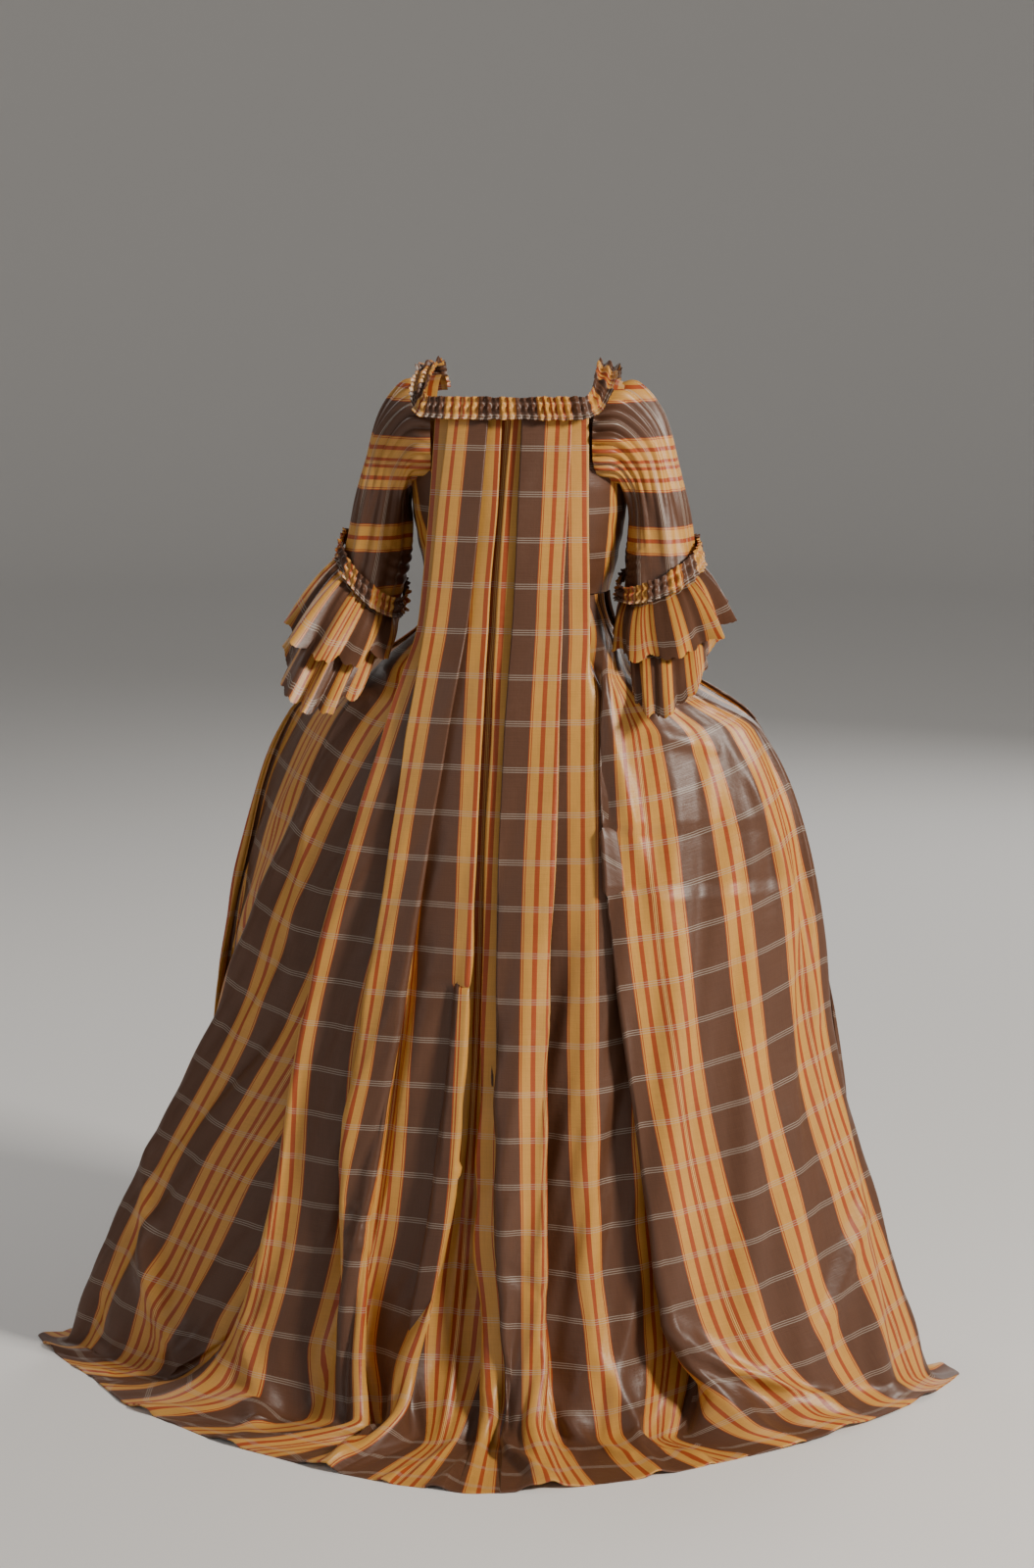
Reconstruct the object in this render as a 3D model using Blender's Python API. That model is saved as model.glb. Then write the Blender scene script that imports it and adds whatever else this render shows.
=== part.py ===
"""Robe a la francaise: a silk gown with a pleated sack back and a short train.

Every piece of cloth is a wall of even thickness.  The skirt and sack are built from
horizontal sections: a table gives each fold edge's place at a few heights, the hidden
part of each pleat is worked out from how much cloth it holds, and the sections are
joined into sheets.  Heights count from the floor; the finished gown is then set down so
that its origin is where it is held, midway between the shoulder straps.
+Z is up, the train lies towards -Y and +X is the wearer's right.
"""
import bpy
import numpy as np

# ---------------------------------------------------------------- driving sizes (metres)
SHOULDER_HEIGHT = 1.408     # floor to the top of the shoulder straps
WALL = 0.0016               # cloth with its turnings
LAYER = 0.0048              # spacing of cloth that lies folded on cloth
SEAM_GAP = 0.0003           # left between pieces that are sewn together
REPEAT = 0.218              # stripe repeat across the silk; one wide and one narrow band
FLOOR_LIFT = WALL / 2       # mid-surface height of cloth that lies on the floor

# Outline of the gown at each height: the back's depth, its half-widths to the wearer's
# left and right and how round it is (2 is an oval), then the half-width and the depth of
# the oval in front of the sides.
RING_COLUMNS = ("height", "back", "left", "right", "roundness", "widen", "front")
RINGS = {
    "neck":  (1.352, 0.105, 0.200, 0.200, 2.40, 0.150, 0.100),
    "bust":  (1.240, 0.130, 0.200, 0.200, 2.40, 0.150, 0.100),
    "waist": (1.105, 0.155, 0.220, 0.220, 2.40, 0.124, 0.097),
    "pad":   (1.070, 0.162, 0.230, 0.230, 2.40, 0.131, 0.102),
    "brim":  (1.010, 0.184, 0.275, 0.305, 2.30, 0.205, 0.132),
    "flank": (0.972, 0.192, 0.297, 0.342, 2.30, 0.272, 0.153),
    "hip":   (0.930, 0.200, 0.315, 0.372, 2.30, 0.330, 0.172),
    "thigh": (0.720, 0.238, 0.385, 0.442, 2.20, 0.402, 0.205),
    "knee":  (0.500, 0.272, 0.455, 0.468, 2.00, 0.450, 0.232),
    "shin":  (0.280, 0.306, 0.565, 0.530, 1.85, 0.472, 0.247),
    "ankle": (0.100, 0.345, 0.645, 0.590, 1.70, 0.484, 0.256),
    "floor": (0.036, 0.392, 0.674, 0.614, 1.60, 0.487, 0.258),
    "train": (0.018, 0.470, 0.692, 0.624, 1.55, 0.489, 0.260),
    "hem":   (0.003, 0.545, 0.708, 0.632, 1.50, 0.490, 0.261),
}
ROWS = list(RINGS)
WAIST, PAD, BRIM, HIP = (ROWS.index(name) for name in ("waist", "pad", "brim", "hip"))
ANKLE, FLOOR, TRAIN, HEM = (ROWS.index(name) for name in ("ankle", "floor", "train", "hem"))

# Fold edges of the back, left to right.  "cloth" and "foot" are the place across the
# silk in repeats, at the neck and where it meets the floor; then sideways places at each
# height; "layers" of cloth lie over the edge at the neck, "sunk" is how far it stands
# inside the outline near the floor, and "crest" how high the fold stands on the floor.
FOLD_COLUMNS = ("cloth", "foot", "neck", "bust", "waist", "pad", "brim", "flank", "hip",
                "thigh", "knee", "shin", "ankle", "floor", "layers", "sunk", "crest")
FOLDS = {
    "left_side":   (0.21, 0.21, None, None, -0.114, -0.123, -0.182, -0.220,
                    -0.250, -0.345, -0.425, -0.540, -0.622, -0.655, 3.5, 0.000, 0.010),
    "left_outer":  (2.07, 1.86, -0.109, -0.115, -0.124, -0.128, -0.145, -0.157,
                    -0.170, -0.230, -0.280, -0.316, -0.372, -0.415, 2.5, 0.004, 0.034),
    "left_top":    (2.42, 2.66, -0.085, -0.096, -0.107, -0.111, -0.119, -0.125,
                    -0.132, -0.161, -0.192, -0.214, -0.206, -0.196, 0.5, 0.000, 0.016),
    "left_inner":  (2.74, 2.92, -0.029, -0.036, -0.048, -0.052, -0.061, -0.067,
                    -0.073, -0.106, -0.139, -0.172, -0.178, -0.168, 0.5, 0.000, 0.018),
    "left_under":  (3.53, 3.56, -0.012, -0.015, -0.024, -0.025, -0.026, -0.027,
                    -0.028, -0.034, -0.041, -0.058, -0.098, -0.118, 2.5, 0.004, 0.040),
    "centre":      (4.00, 4.00, -0.006, -0.011, -0.018, -0.019, -0.021, -0.022,
                    -0.023, -0.028, -0.034, -0.044, -0.055, -0.062, 4.5, 0.055, 0.000),
    "right_under": (4.46, 4.44, 0.000, -0.007, -0.013, -0.014, -0.015, -0.0155,
                    -0.016, -0.021, -0.026, -0.028, -0.012, -0.004, 2.5, 0.030, 0.008),
    "right_inner": (4.66, 4.66, 0.016, 0.014, 0.010, 0.009, 0.007, 0.005,
                    0.003, -0.003, 0.000, 0.010, 0.022, 0.030, 0.5, 0.000, 0.020),
    "right_top":   (5.00, 5.00, 0.084, 0.082, 0.078, 0.078, 0.078, 0.0775,
                    0.077, 0.074, 0.072, 0.073, 0.073, 0.074, 0.5, 0.000, 0.042),
    "right_outer": (5.54, 5.50, 0.108, 0.112, 0.116, 0.117, 0.118, 0.1185,
                    0.119, 0.123, 0.127, 0.134, 0.152, 0.168, 2.5, 0.010, 0.012),
    "right_hip":   (6.70, 6.60, None, None, 0.108, 0.118, 0.136, 0.1335,
                    0.131, 0.144, 0.176, 0.208, 0.258, 0.318, 1.2, -0.006, 0.052),
    "right_side":  (8.24, 8.24, None, None, 0.120, 0.127, 0.190, 0.280,
                    0.345, 0.420, 0.447, 0.507, 0.566, 0.594, 1.5, 0.000, 0.010),
}

# Fold edges in front of the sides, the same on both: the angle from the back at the
# waist and at the foot, and how far from the train towards the front the hem has risen.
FRONT_COLUMNS = ("waist_angle", "foot_angle", "risen")
FRONT_FOLDS = {
    "pleat_1":    (94.0, 96.0, 0.55),
    "pleat_2":    (108.0, 109.0, 0.85),
    "pleat_3":    (122.0, 123.0, 1.00),
    "pleat_4":    (135.0, 138.0, 1.00),
    "front_edge": (155.0, 160.0, 1.00),
}
FRONT_HEIGHTS = {"floor": 0.072, "train": 0.050, "hem": 0.028}

# The hidden half of each pleat: the two fold edges it joins, which of them lies over it,
# the cloth between those edges at the hip and at the foot (repeats), and how far it
# stands open at the foot (0 is pressed flat, 1 a deep open trough).
TUCK_COLUMNS = ("start", "end", "over", "top", "foot", "open")
TUCKS = {
    "left_seam":    ("left_side", "left_outer", "left_outer", 0.86, 1.62, 0.60),
    "left_tuck":    ("left_outer", "left_top", "left_top", 0.34, 0.80, 0.70),
    "left_box":     ("left_inner", "left_under", "left_inner", 0.33, 0.66, 0.72),
    "centre_left":  ("left_under", "centre", "left_under", 0.37, 0.46, 0.80),
    "centre_right": ("centre", "right_under", "right_under", 0.33, 0.40, 0.80),
    "right_tuck":   ("right_under", "right_inner", "right_inner", 0.24, 0.27, 0.70),
    "right_box":    ("right_top", "right_outer", "right_top", 0.54, 0.56, 0.80),
    "right_seam":   ("right_outer", "right_hip", "right_hip", 0.16, 1.16, 0.72),
}
FRONT_TUCKS = {
    "tuck_0": ("side", "pleat_1", "pleat_1", 0.30, 1.10, 0.60),
    "tuck_1": ("pleat_1", "pleat_2", "pleat_2", 0.30, 0.80, 0.75),
    "tuck_2": ("pleat_2", "pleat_3", "pleat_3", 0.30, 0.78, 0.75),
    "tuck_3": ("pleat_3", "pleat_4", "pleat_4", 0.30, 0.80, 0.75),
}
# The side folds start on the waist's oval and leave it for the back's outline below.
LAST_ON_WAIST = {"left_side": BRIM, "right_hip": PAD, "right_side": BRIM}
SACK_CLEAR_ANGLE = 42.0     # at the waist the side cloth starts here, under the sack
SLIT_GAP = 0.0020           # above the hip the side stands this far off the sack
SEAM_TURN = 0.014           # the sack's outer edge turned under above the hip
CENTRE_FRONT_CLOTH = 4.44   # place across the silk that lies behind the body, in repeats
FLOOR_SPREAD = 1.04         # the hem's outline over the width of cloth that lies along it

# Sheets of the skirt and sack: the corners they pass through from the wearer's left to
# right; the first and last are seams or free edges.
SHEETS = {
    "front_skirt_left": ("left_front_edge", "left_pleat_4", "left_tuck_3", "left_pleat_3",
                         "left_tuck_2"),
    "side_left": ("left_tuck_2", "left_pleat_2", "left_tuck_1", "left_pleat_1",
                  "left_tuck_0", "left_side", "left_seam"),
    "back_left": ("left_seam", "left_outer", "left_tuck", "left_top", "left_inner",
                  "left_box", "left_under", "centre_left", "centre"),
    "back_right": ("centre", "centre_right", "right_under", "right_tuck", "right_inner",
                   "right_top", "right_box", "right_outer", "right_seam"),
    "side_right": ("right_seam", "right_hip", "right_side", "right_tuck_0",
                   "right_pleat_1", "right_tuck_1", "right_pleat_2", "right_tuck_2"),
    "front_skirt_right": ("right_tuck_2", "right_pleat_3", "right_tuck_3",
                          "right_pleat_4", "right_front_edge"),
}
# Extra points across the widest faces, and how much they follow the outline.
FACES = {
    ("left_side", "left_seam"): (3, 0.8),
    ("right_hip", "right_side"): (3, 0.9),
    ("left_front_edge", "left_pleat_4"): (2, 1.0),
    ("right_pleat_4", "right_front_edge"): (2, 1.0),
    ("left_top", "left_inner"): (1, 0.3),
    ("right_inner", "right_top"): (1, 0.3),
    ("left_outer", "left_tuck"): (1, 0.5),
    ("right_outer", "right_seam"): (1, 0.5),
}

# Bodice: half-width and half-depth of the body's oval at a few heights.
TORSO_COLUMNS = ("height", "half_width", "half_depth")
TORSO = ((1.105, 0.124, 0.097), (1.150, 0.136, 0.106), (1.240, 0.150, 0.115),
         (1.330, 0.153, 0.100), (1.380, 0.150, 0.078))

# Sleeves, from the armhole to the elbow: centre, then half the width towards the arm's
# outer side, then half the depth towards the back.
SLEEVE_COLUMNS = ("centre", "outer", "rear")
SLEEVES = {
    "right": (((0.150, 0.000, 1.318), (0.000, 0, 0.066), (0, -0.050, 0.000)),
              ((0.172, -0.005, 1.290), (0.017, 0, 0.060), (0, -0.051, -0.004)),
              ((0.184, -0.012, 1.240), (0.031, 0, 0.046), (0, -0.050, -0.008)),
              ((0.192, -0.022, 1.186), (0.042, 0, 0.032), (0, -0.049, -0.014)),
              ((0.198, -0.035, 1.127), (0.048, 0, 0.017), (0, -0.049, -0.018))),
    "left": (((-0.150, 0.000, 1.318), (0.000, 0, 0.066), (0, -0.050, 0.000)),
             ((-0.170, -0.005, 1.288), (-0.016, 0, 0.060), (0, -0.051, -0.004)),
             ((-0.181, -0.012, 1.238), (-0.030, 0, 0.046), (0, -0.050, -0.008)),
             ((-0.191, -0.022, 1.180), (-0.038, 0, 0.036), (0, -0.049, -0.014)),
             ((-0.203, -0.035, 1.119), (-0.037, 0, 0.034), (0, -0.049, -0.018))),
}
# Flounces at the elbow: the lower edge's centre, outer half and rear half, and the share
# of the sleeve's end that the upper edge is gathered to.
FLOUNCE_COLUMNS = ("centre", "outer", "rear", "gathered")
FLOUNCES = {
    "flounce_upper_right": ((0.218, -0.084, 1.064), (0.078, 0, 0.015), (0, -0.080, -0.030),
                            1.05),
    "flounce_lower_right": ((0.228, -0.118, 1.030), (0.050, 0.010, 0.016),
                            (-0.008, -0.098, -0.066), 0.78),
    "flounce_upper_left": ((-0.238, -0.080, 1.052), (-0.072, 0, 0.014),
                           (0, -0.082, -0.030), 1.05),
    "flounce_lower_left": ((-0.254, -0.106, 1.012), (-0.056, 0, 0.010),
                           (-0.008, -0.088, -0.055), 0.78),
}
FLOUNCE_WAVES = 7
FLOUNCE_SWING = 0.0065      # how far the lower edge waves in and out

# Neck ruche: the lower or outer edge and the upper or inner edge of the gathered band,
# from the wearer's left front over the shoulder and round the back to the right front.
NECK_OUTER = ((-0.132, 0.062, 1.382), (-0.134, 0.030, 1.406), (-0.135, -0.010, 1.410),
              (-0.137, -0.052, 1.392), (-0.134, -0.094, 1.362), (-0.116, -0.1085, 1.350),
              (-0.060, -0.1115, 1.349), (0.000, -0.1120, 1.349), (0.060, -0.1115, 1.349),
              (0.104, -0.1095, 1.350), (0.124, -0.096, 1.362), (0.134, -0.052, 1.392),
              (0.135, -0.010, 1.410), (0.134, 0.030, 1.406), (0.132, 0.062, 1.382))
NECK_INNER = ((-0.108, 0.068, 1.378), (-0.110, 0.032, 1.410), (-0.111, -0.008, 1.416),
              (-0.113, -0.048, 1.404), (-0.118, -0.084, 1.384), (-0.110, -0.1035, 1.376),
              (-0.060, -0.1085, 1.375), (0.000, -0.1100, 1.375), (0.060, -0.1085, 1.375),
              (0.098, -0.1045, 1.376), (0.108, -0.086, 1.384), (0.110, -0.048, 1.404),
              (0.111, -0.008, 1.416), (0.110, 0.032, 1.410), (0.108, 0.068, 1.378))
# The cuff's gathered band: share of the way up the sleeve's last length, drop below the
# sleeve's end, and size over the sleeve.
CUFF_BAND = ((0.36, 0.0, 1.15), (0.18, 0.0, 1.18), (0.0, 0.0, 1.20))
FLOUNCE_DROP = 0.004        # the flounces' upper edges below the sleeve's end
RUCHE_SWING = 0.0022        # how far a gathered band waves in and out

SILK_COLOUR = (0.105, 0.058, 0.040)
SILK_ROUGHNESS = 0.42
TRIM_COLOUR = (0.160, 0.090, 0.055)
TRIM_ROUGHNESS = 0.50


# ---------------------------------------------------------------- curves and rings
def unit(vectors):
    """Each vector divided by its length."""
    length = np.linalg.norm(vectors, axis=-1, keepdims=True)
    return vectors / np.maximum(length, 1e-9)


def smooth_step(value):
    """0 to 1 with level ends."""
    value = np.clip(value, 0, 1)
    return value * value * (3 - 2 * value)


HEIGHT, BACK, LEFT, RIGHT, ROUND, WIDEN, FRONT = np.array(list(RINGS.values())).T
OPENED = smooth_step((HEIGHT[BRIM] - HEIGHT) / (HEIGHT[BRIM] - HEIGHT[ANKLE]))
SPREAD = smooth_step((HEIGHT[WAIST] - HEIGHT) / (HEIGHT[WAIST] - HEIGHT[ANKLE]))


def half_width(sideways, row):
    """Half-width of the outline on the side a sideways place lies."""
    return LEFT[row] if sideways < 0 else RIGHT[row]


def behind(sideways, row, depth=0.0):
    """Point of the back's rounded outline at a sideways place, moved in by a depth."""
    half = half_width(sideways, row)
    share = min(abs(sideways) / half, 0.995)
    reach = BACK[row] * (1 - share ** ROUND[row]) ** (1 / ROUND[row])
    point = np.array([sideways, -reach])
    return point - depth * unit(point / np.array([half, BACK[row]]) ** 2)


def before(angle, side, row, depth=0.0):
    """Point of the front's oval at an angle from the back, moved in by a depth."""
    turn = np.radians(angle)
    point = np.array([side * WIDEN[row] * np.sin(turn), -FRONT[row] * np.cos(turn)])
    return point - depth * unit(point / np.array([WIDEN[row], FRONT[row]]) ** 2)


def on_outline(point, row):
    """A point pushed straight out from the body's axis to the outline."""
    if point[1] > 0:
        size = np.hypot(point[0] / WIDEN[row], point[1] / FRONT[row])
        return point / max(size, 1e-6)
    power = ROUND[row]
    spans = np.abs(point) / np.array([half_width(point[0], row), BACK[row]])
    return point / max((spans ** power).sum() ** (1 / power), 1e-6)


def along_outline(length, row):
    """Sideways place at a length along the back's outline, counted from the middle."""
    places = np.linspace(-0.995 * LEFT[row], 0.995 * RIGHT[row], 401)
    points = np.array([behind(place, row) for place in places])
    steps = np.linalg.norm(np.diff(points, axis=0), axis=1)
    travelled = np.concatenate([[0], np.cumsum(steps)])
    travelled -= np.interp(0, places, travelled)
    return float(np.interp(length, travelled, places))


# ---------------------------------------------------------------- corners of the pleats
def fold_depth(layers, sunk, row):
    """How far a fold edge stands inside the outline: under layers above, sunk below."""
    return layers * LAYER * (1 - SPREAD[row]) + sunk * SPREAD[row]


def hem_place(cloth, row):
    """Sideways place on the floor of a place across the silk, given in repeats."""
    length = (cloth - CENTRE_FRONT_CLOTH) * REPEAT * FLOOR_SPREAD
    return along_outline(length, row)


def fold_corner(name, row):
    """Place of one of the back's fold edges at a row."""
    cloth, foot, *places, layers, sunk, crest = FOLDS[name]
    if row >= TRAIN:
        place = hem_place(foot, HEM)
        if row == TRAIN:
            place = 0.5 * (place + places[FLOOR])
        share = {TRAIN: 0.35, HEM: 0.10}[row]
        return np.append(behind(place, row), FLOOR_LIFT + crest * share)
    if row == FLOOR:
        return np.append(behind(places[row], row), FLOOR_LIFT + crest)
    place = places[row]
    if places[0] is None and row <= LAST_ON_WAIST[name]:
        angle = np.degrees(np.arcsin(abs(place) / WIDEN[row]))
        point = before(angle, np.sign(place), row)
    else:
        point = behind(place, row, fold_depth(layers, sunk, row))
    return np.append(point, HEIGHT[row])


def front_corner(name, side, row):
    """Place of a fold edge in front of the sides at a row."""
    high, low, risen = FRONT_FOLDS[name]
    angle = high + (low - high) * SPREAD[row]
    height = HEIGHT[row]
    if row >= FLOOR:
        height += (FRONT_HEIGHTS[ROWS[row]] - height) * risen
    return np.append(before(angle, side, row), height)


def open_corner(start, end, cloth, open_share, beyond):
    """Corner of a pleat that stands open: its two halves add up to the cloth."""
    chord = end - start
    span = np.linalg.norm(chord)
    deepest = np.sqrt(max(cloth ** 2 - span ** 2, 1e-8)) / 2
    forward = chord / span
    middle = (start + end) / 2
    inward = np.array([-forward[1], forward[0]])
    inward *= -np.sign(inward @ middle)
    reach = cloth / 2 * np.sqrt(1 - open_share ** 2)
    return middle + beyond * reach * forward + open_share * deepest * inward


def tuck_corner(name, row, corners):
    """Hidden corner of a pleat: pressed flat at the hip, standing open lower down."""
    start_name, end_name, over_name, top, foot, open_share = all_tucks[name]
    start, end, over = (corners[n] for n in (start_name, end_name, over_name))
    beyond = 1 if over_name == end_name else -1
    if row >= FLOOR:
        share = 0.5 + 0.16 * beyond
        middle = start + (end - start) * share
        sink = {FLOOR: 0.030, TRAIN: 0.010, HEM: 0.0}[row]
        middle[:2] *= 1 - sink
        risen = min(start[2], end[2]) if "tuck_" in name else FLOOR_LIFT
        middle[2] = max(risen, FLOOR_LIFT)
        return middle
    if name == "right_seam" and row == BRIM:
        place = (start[0] + end[0]) / 2
        return np.append(behind(place, row, fold_depth(4.5, 0, row)), HEIGHT[row])
    if name in ("left_seam", "right_seam") and row <= BRIM:
        edge = corners["left_outer" if name == "left_seam" else "right_outer"]
        place = edge[0] - np.sign(edge[0]) * SEAM_TURN
        point = behind(place, row, fold_depth(3.5, 0, row))
        return np.append(point, HEIGHT[row])
    span = np.linalg.norm((end - start)[:2])
    cloth = max(REPEAT * (top + (foot - top) * OPENED[row]), 1.06 * span)
    hidden = (cloth - span) / 2
    if "tuck_" in name:
        side = np.sign(over[0])
        angle = np.degrees(np.arctan2(abs(over[0]) / WIDEN[row], -over[1] / FRONT[row]))
        step = np.degrees(hidden / (0.5 * (WIDEN[row] + FRONT[row])))
        pressed = before(angle + step, side, row, 2 * LAYER)
    else:
        heading = unit((end - start)[:2]) * beyond
        layers, sunk = FOLDS[over_name][-3:-1]
        place = over[0] + heading[0] * hidden
        pressed = behind(place, row, fold_depth(layers, sunk, row) + 1.6 * LAYER)
    opened = open_corner(start[:2], end[:2], cloth, open_share, beyond)
    point = pressed + (opened - pressed) * OPENED[row]
    return np.append(point, HEIGHT[row])


def row_corners(row):
    """Every corner of the skirt and sack at one row, by name."""
    corners = {}
    for name, entry in FOLDS.items():
        if entry[2 + min(row, FLOOR)] is not None:
            corners[name] = fold_corner(name, row)
    if row >= WAIST:
        for side_name, side in (("left", -1), ("right", 1)):
            for name in FRONT_FOLDS:
                corners[f"{side_name}_{name}"] = front_corner(name, side, row)
    for name, entry in all_tucks.items():
        if entry[0] in corners and entry[1] in corners or "seam" in name:
            corners[name] = tuck_corner(name, row, with_sides(corners))
    return corners


def with_sides(corners):
    """The corners, with an absent side fold standing in for its neighbour."""
    filled = dict(corners)
    filled.setdefault("left_side", corners["left_outer"])
    filled.setdefault("right_hip", corners["right_outer"])
    return filled


def side_tucks(side):
    """The pleats in front of one side, named for that side."""
    named = {}
    for name, (start, end, over, *rest) in FRONT_TUCKS.items():
        named[f"{side}_{name}"] = (f"{side}_{start}", f"{side}_{end}", f"{side}_{over}",
                                   *rest)
    return named


all_tucks = {**TUCKS, **side_tucks("left"), **side_tucks("right")}
all_corners = [row_corners(row) for row in range(len(ROWS))]


# ---------------------------------------------------------------- sheets of the skirt
def seam_turn(before_seam, seam, after_seam):
    """Direction across the turn at a seam that lies in a hidden corner."""
    return unit(unit(seam - before_seam) + unit(after_seam - seam))


def sheet_row(name, row):
    """Points of one sheet at one row, from the wearer's left to right."""
    corners = dict(all_corners[row])
    names = SHEETS[name]
    if name.startswith("side") and row <= PAD:
        side = -1 if name == "side_left" else 1
        start = before(SACK_CLEAR_ANGLE, side, row)
        corners["left_seam" if side < 0 else "right_seam"] = np.append(start, HEIGHT[row])
    path = [corners[n] for n in names]
    order = list(SHEETS)
    at = order.index(name)
    neighbours = {0: (at - 1, -2), -1: (at + 1, 1)}
    points = []
    for index, (label, corner) in enumerate(zip(names, path)):
        is_first, is_last = index == 0, index == len(names) - 1
        if label.endswith("front_edge"):
            points.append(corner)
        elif is_first or is_last:
            sheet, place = neighbours[0 if is_first else -1]
            other = SHEETS[order[sheet]][place]
            inner = path[1] if is_first else path[-2]
            outer = corners.get(other, corner + (corner - inner))
            way = seam_turn(outer, corner, inner) if is_first else seam_turn(
                inner, corner, outer)
            gap, half = SEAM_GAP / 2, LAYER / 2
            if name.startswith("side") and row < HIP:
                gap, half = gap + SLIT_GAP, half + SLIT_GAP
            pair = [corner + way * gap, corner + way * half]
            points += pair if is_first else [corner - way * half, corner - way * gap]
        else:
            way = seam_turn(path[index - 1], corner, path[index + 1])
            points += [corner - way * LAYER / 2, corner + way * LAYER / 2]
        if not is_last:
            count, follow = FACES.get((label, names[index + 1]), (0, 0))
            points += face_points(points[-1], path[index + 1], count, follow, row)
    return np.array(points)


def face_points(start, end, count, follow, row):
    """Points inside a face, bent out towards the outline between its two edges."""
    points = []
    ends = on_outline(start[:2], row), on_outline(end[:2], row)
    for share in (np.arange(count) + 1) / (count + 1):
        point = start + (end - start) * share
        bend = on_outline(point[:2], row) - (ends[0] + (ends[1] - ends[0]) * share)
        point[:2] += follow * bend
        points.append(point)
    return points


# ---------------------------------------------------------------- cloth walls
def wall_of(grid, wraps, thickness=WALL):
    """Both faces of a sheet: each point moved half a thickness along its normal."""
    along = np.gradient(grid, axis=0)
    if wraps:
        forward = unit(np.roll(grid, -1, axis=1) - grid)
        backward = np.roll(forward, 1, axis=1)
    else:
        steps = unit(np.diff(grid, axis=1))
        forward = np.concatenate([steps, steps[:, -1:]], axis=1)
        backward = np.concatenate([steps[:, :1], steps], axis=1)
    across = unit(forward + backward)
    normal = unit(np.cross(across, along))
    half_turn = np.clip((across * forward).sum(-1, keepdims=True), 0.6, 1)
    shift = normal * (thickness / 2) / half_turn
    return grid + shift, grid - shift


def closed_sheet(name, grid, material, wraps=False):
    """A closed solid from a grid of points: rows down the cloth, columns across."""
    outer, inner = wall_of(grid, wraps)
    rows, columns = grid.shape[:2]
    near = np.arange(rows * columns).reshape(rows, columns)
    if wraps:
        near = np.concatenate([near, near[:, :1]], axis=1)
    far = near + rows * columns
    strips = [
        (near[:-1, :-1], near[:-1, 1:], near[1:, 1:], near[1:, :-1]),
        (far[:-1, :-1], far[1:, :-1], far[1:, 1:], far[:-1, 1:]),
        (near[0, 1:], near[0, :-1], far[0, :-1], far[0, 1:]),
        (near[-1, :-1], near[-1, 1:], far[-1, 1:], far[-1, :-1]),
    ]
    if not wraps:
        strips.append((near[:-1, 0], near[1:, 0], far[1:, 0], far[:-1, 0]))
        strips.append((near[1:, -1], near[:-1, -1], far[:-1, -1], far[1:, -1]))
    faces = np.concatenate([np.stack([c.ravel() for c in strip], axis=1)
                            for strip in strips])
    points = np.concatenate([outer.reshape(-1, 3), inner.reshape(-1, 3)])
    points = points - np.array([0, 0, SHOULDER_HEIGHT])
    corners = np.concatenate([faces[:, [0, 1, 2]], faces[:, [0, 2, 3]]])
    a, b, c = (points[corners[:, i]] for i in range(3))
    if (a * np.cross(b, c)).sum() < 0:
        corners = corners[:, ::-1]
    mesh = bpy.data.meshes.new(name)
    mesh.from_pydata(points.tolist(), [], corners.tolist())
    mesh.update()
    mesh.materials.append(material)
    bpy.context.scene.collection.objects.link(bpy.data.objects.new(name, mesh))


def finish(name, colour, roughness):
    """A Principled material of one colour."""
    material = bpy.data.materials.new(name)
    material.use_nodes = True
    shader = material.node_tree.nodes["Principled BSDF"]
    shader.inputs["Base Color"].default_value = (*colour, 1)
    shader.inputs["Roughness"].default_value = roughness
    shader.inputs["Metallic"].default_value = 0.0
    return material


# ---------------------------------------------------------------- bodice and sleeves
def torso(angle, height, out=0.0):
    """Point on the body's oval at an angle from the back and a height, moved out."""
    heights, widths, depths = np.array(TORSO).T
    wide = np.interp(height, heights, widths) + out
    deep = np.interp(height, heights, depths) + out
    turn = np.radians(angle)
    return np.stack([wide * np.sin(turn), -deep * np.cos(turn), height + 0 * turn], -1)


def bodice_grid(side, angles, low_edge, top_edge, rows):
    """A bodice piece on the torso: rows from the waist up to an edge that rises."""
    shares = np.linspace(0, 1, rows)[:, None]
    heights = low_edge + (np.asarray(top_edge) - low_edge) * shares
    grid = torso(np.asarray(angles) + 0 * heights, heights)
    return grid * np.array([side, 1, 1])


def ring_points(centre, outer, rear, turns):
    """Points round a closed ring given by its centre and two half-axes."""
    centre, outer, rear = (np.array(v, float) for v in (centre, outer, rear))
    return centre + np.cos(turns)[:, None] * outer + np.sin(turns)[:, None] * rear


def resampled(points, count):
    """A line of points spaced evenly along its length."""
    points = np.array(points, float)
    steps = np.linalg.norm(np.diff(points, axis=0), axis=1)
    travelled = np.concatenate([[0], np.cumsum(steps)])
    places = np.linspace(0, travelled[-1], count)
    return np.stack([np.interp(places, travelled, column) for column in points.T], -1)


def gathered_band(first_edge, second_edge, count, swing):
    """A strip between two edges that waves in and out along its length."""
    first, second = resampled(first_edge, count), resampled(second_edge, count)
    along = np.gradient((first + second) / 2, axis=0)
    normal = unit(np.cross(along, second - first))
    wave = np.where(np.arange(count) % 2, swing, -swing)[:, None]
    middle = (first + second) / 2
    return np.stack([first + normal * wave, middle + normal * wave * 0.4,
                     second + normal * wave])


# ---------------------------------------------------------------- building the gown
for stale in list(bpy.data.objects):
    bpy.data.objects.remove(stale)

silk = finish("silk", SILK_COLOUR, SILK_ROUGHNESS)
trim = finish("trim", TRIM_COLOUR, TRIM_ROUGHNESS)

for sheet_name in SHEETS:
    first_row = 0 if sheet_name.startswith("back") else WAIST
    sheet = np.array([sheet_row(sheet_name, row) for row in range(first_row, len(ROWS))])
    closed_sheet(sheet_name, sheet, silk)

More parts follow.
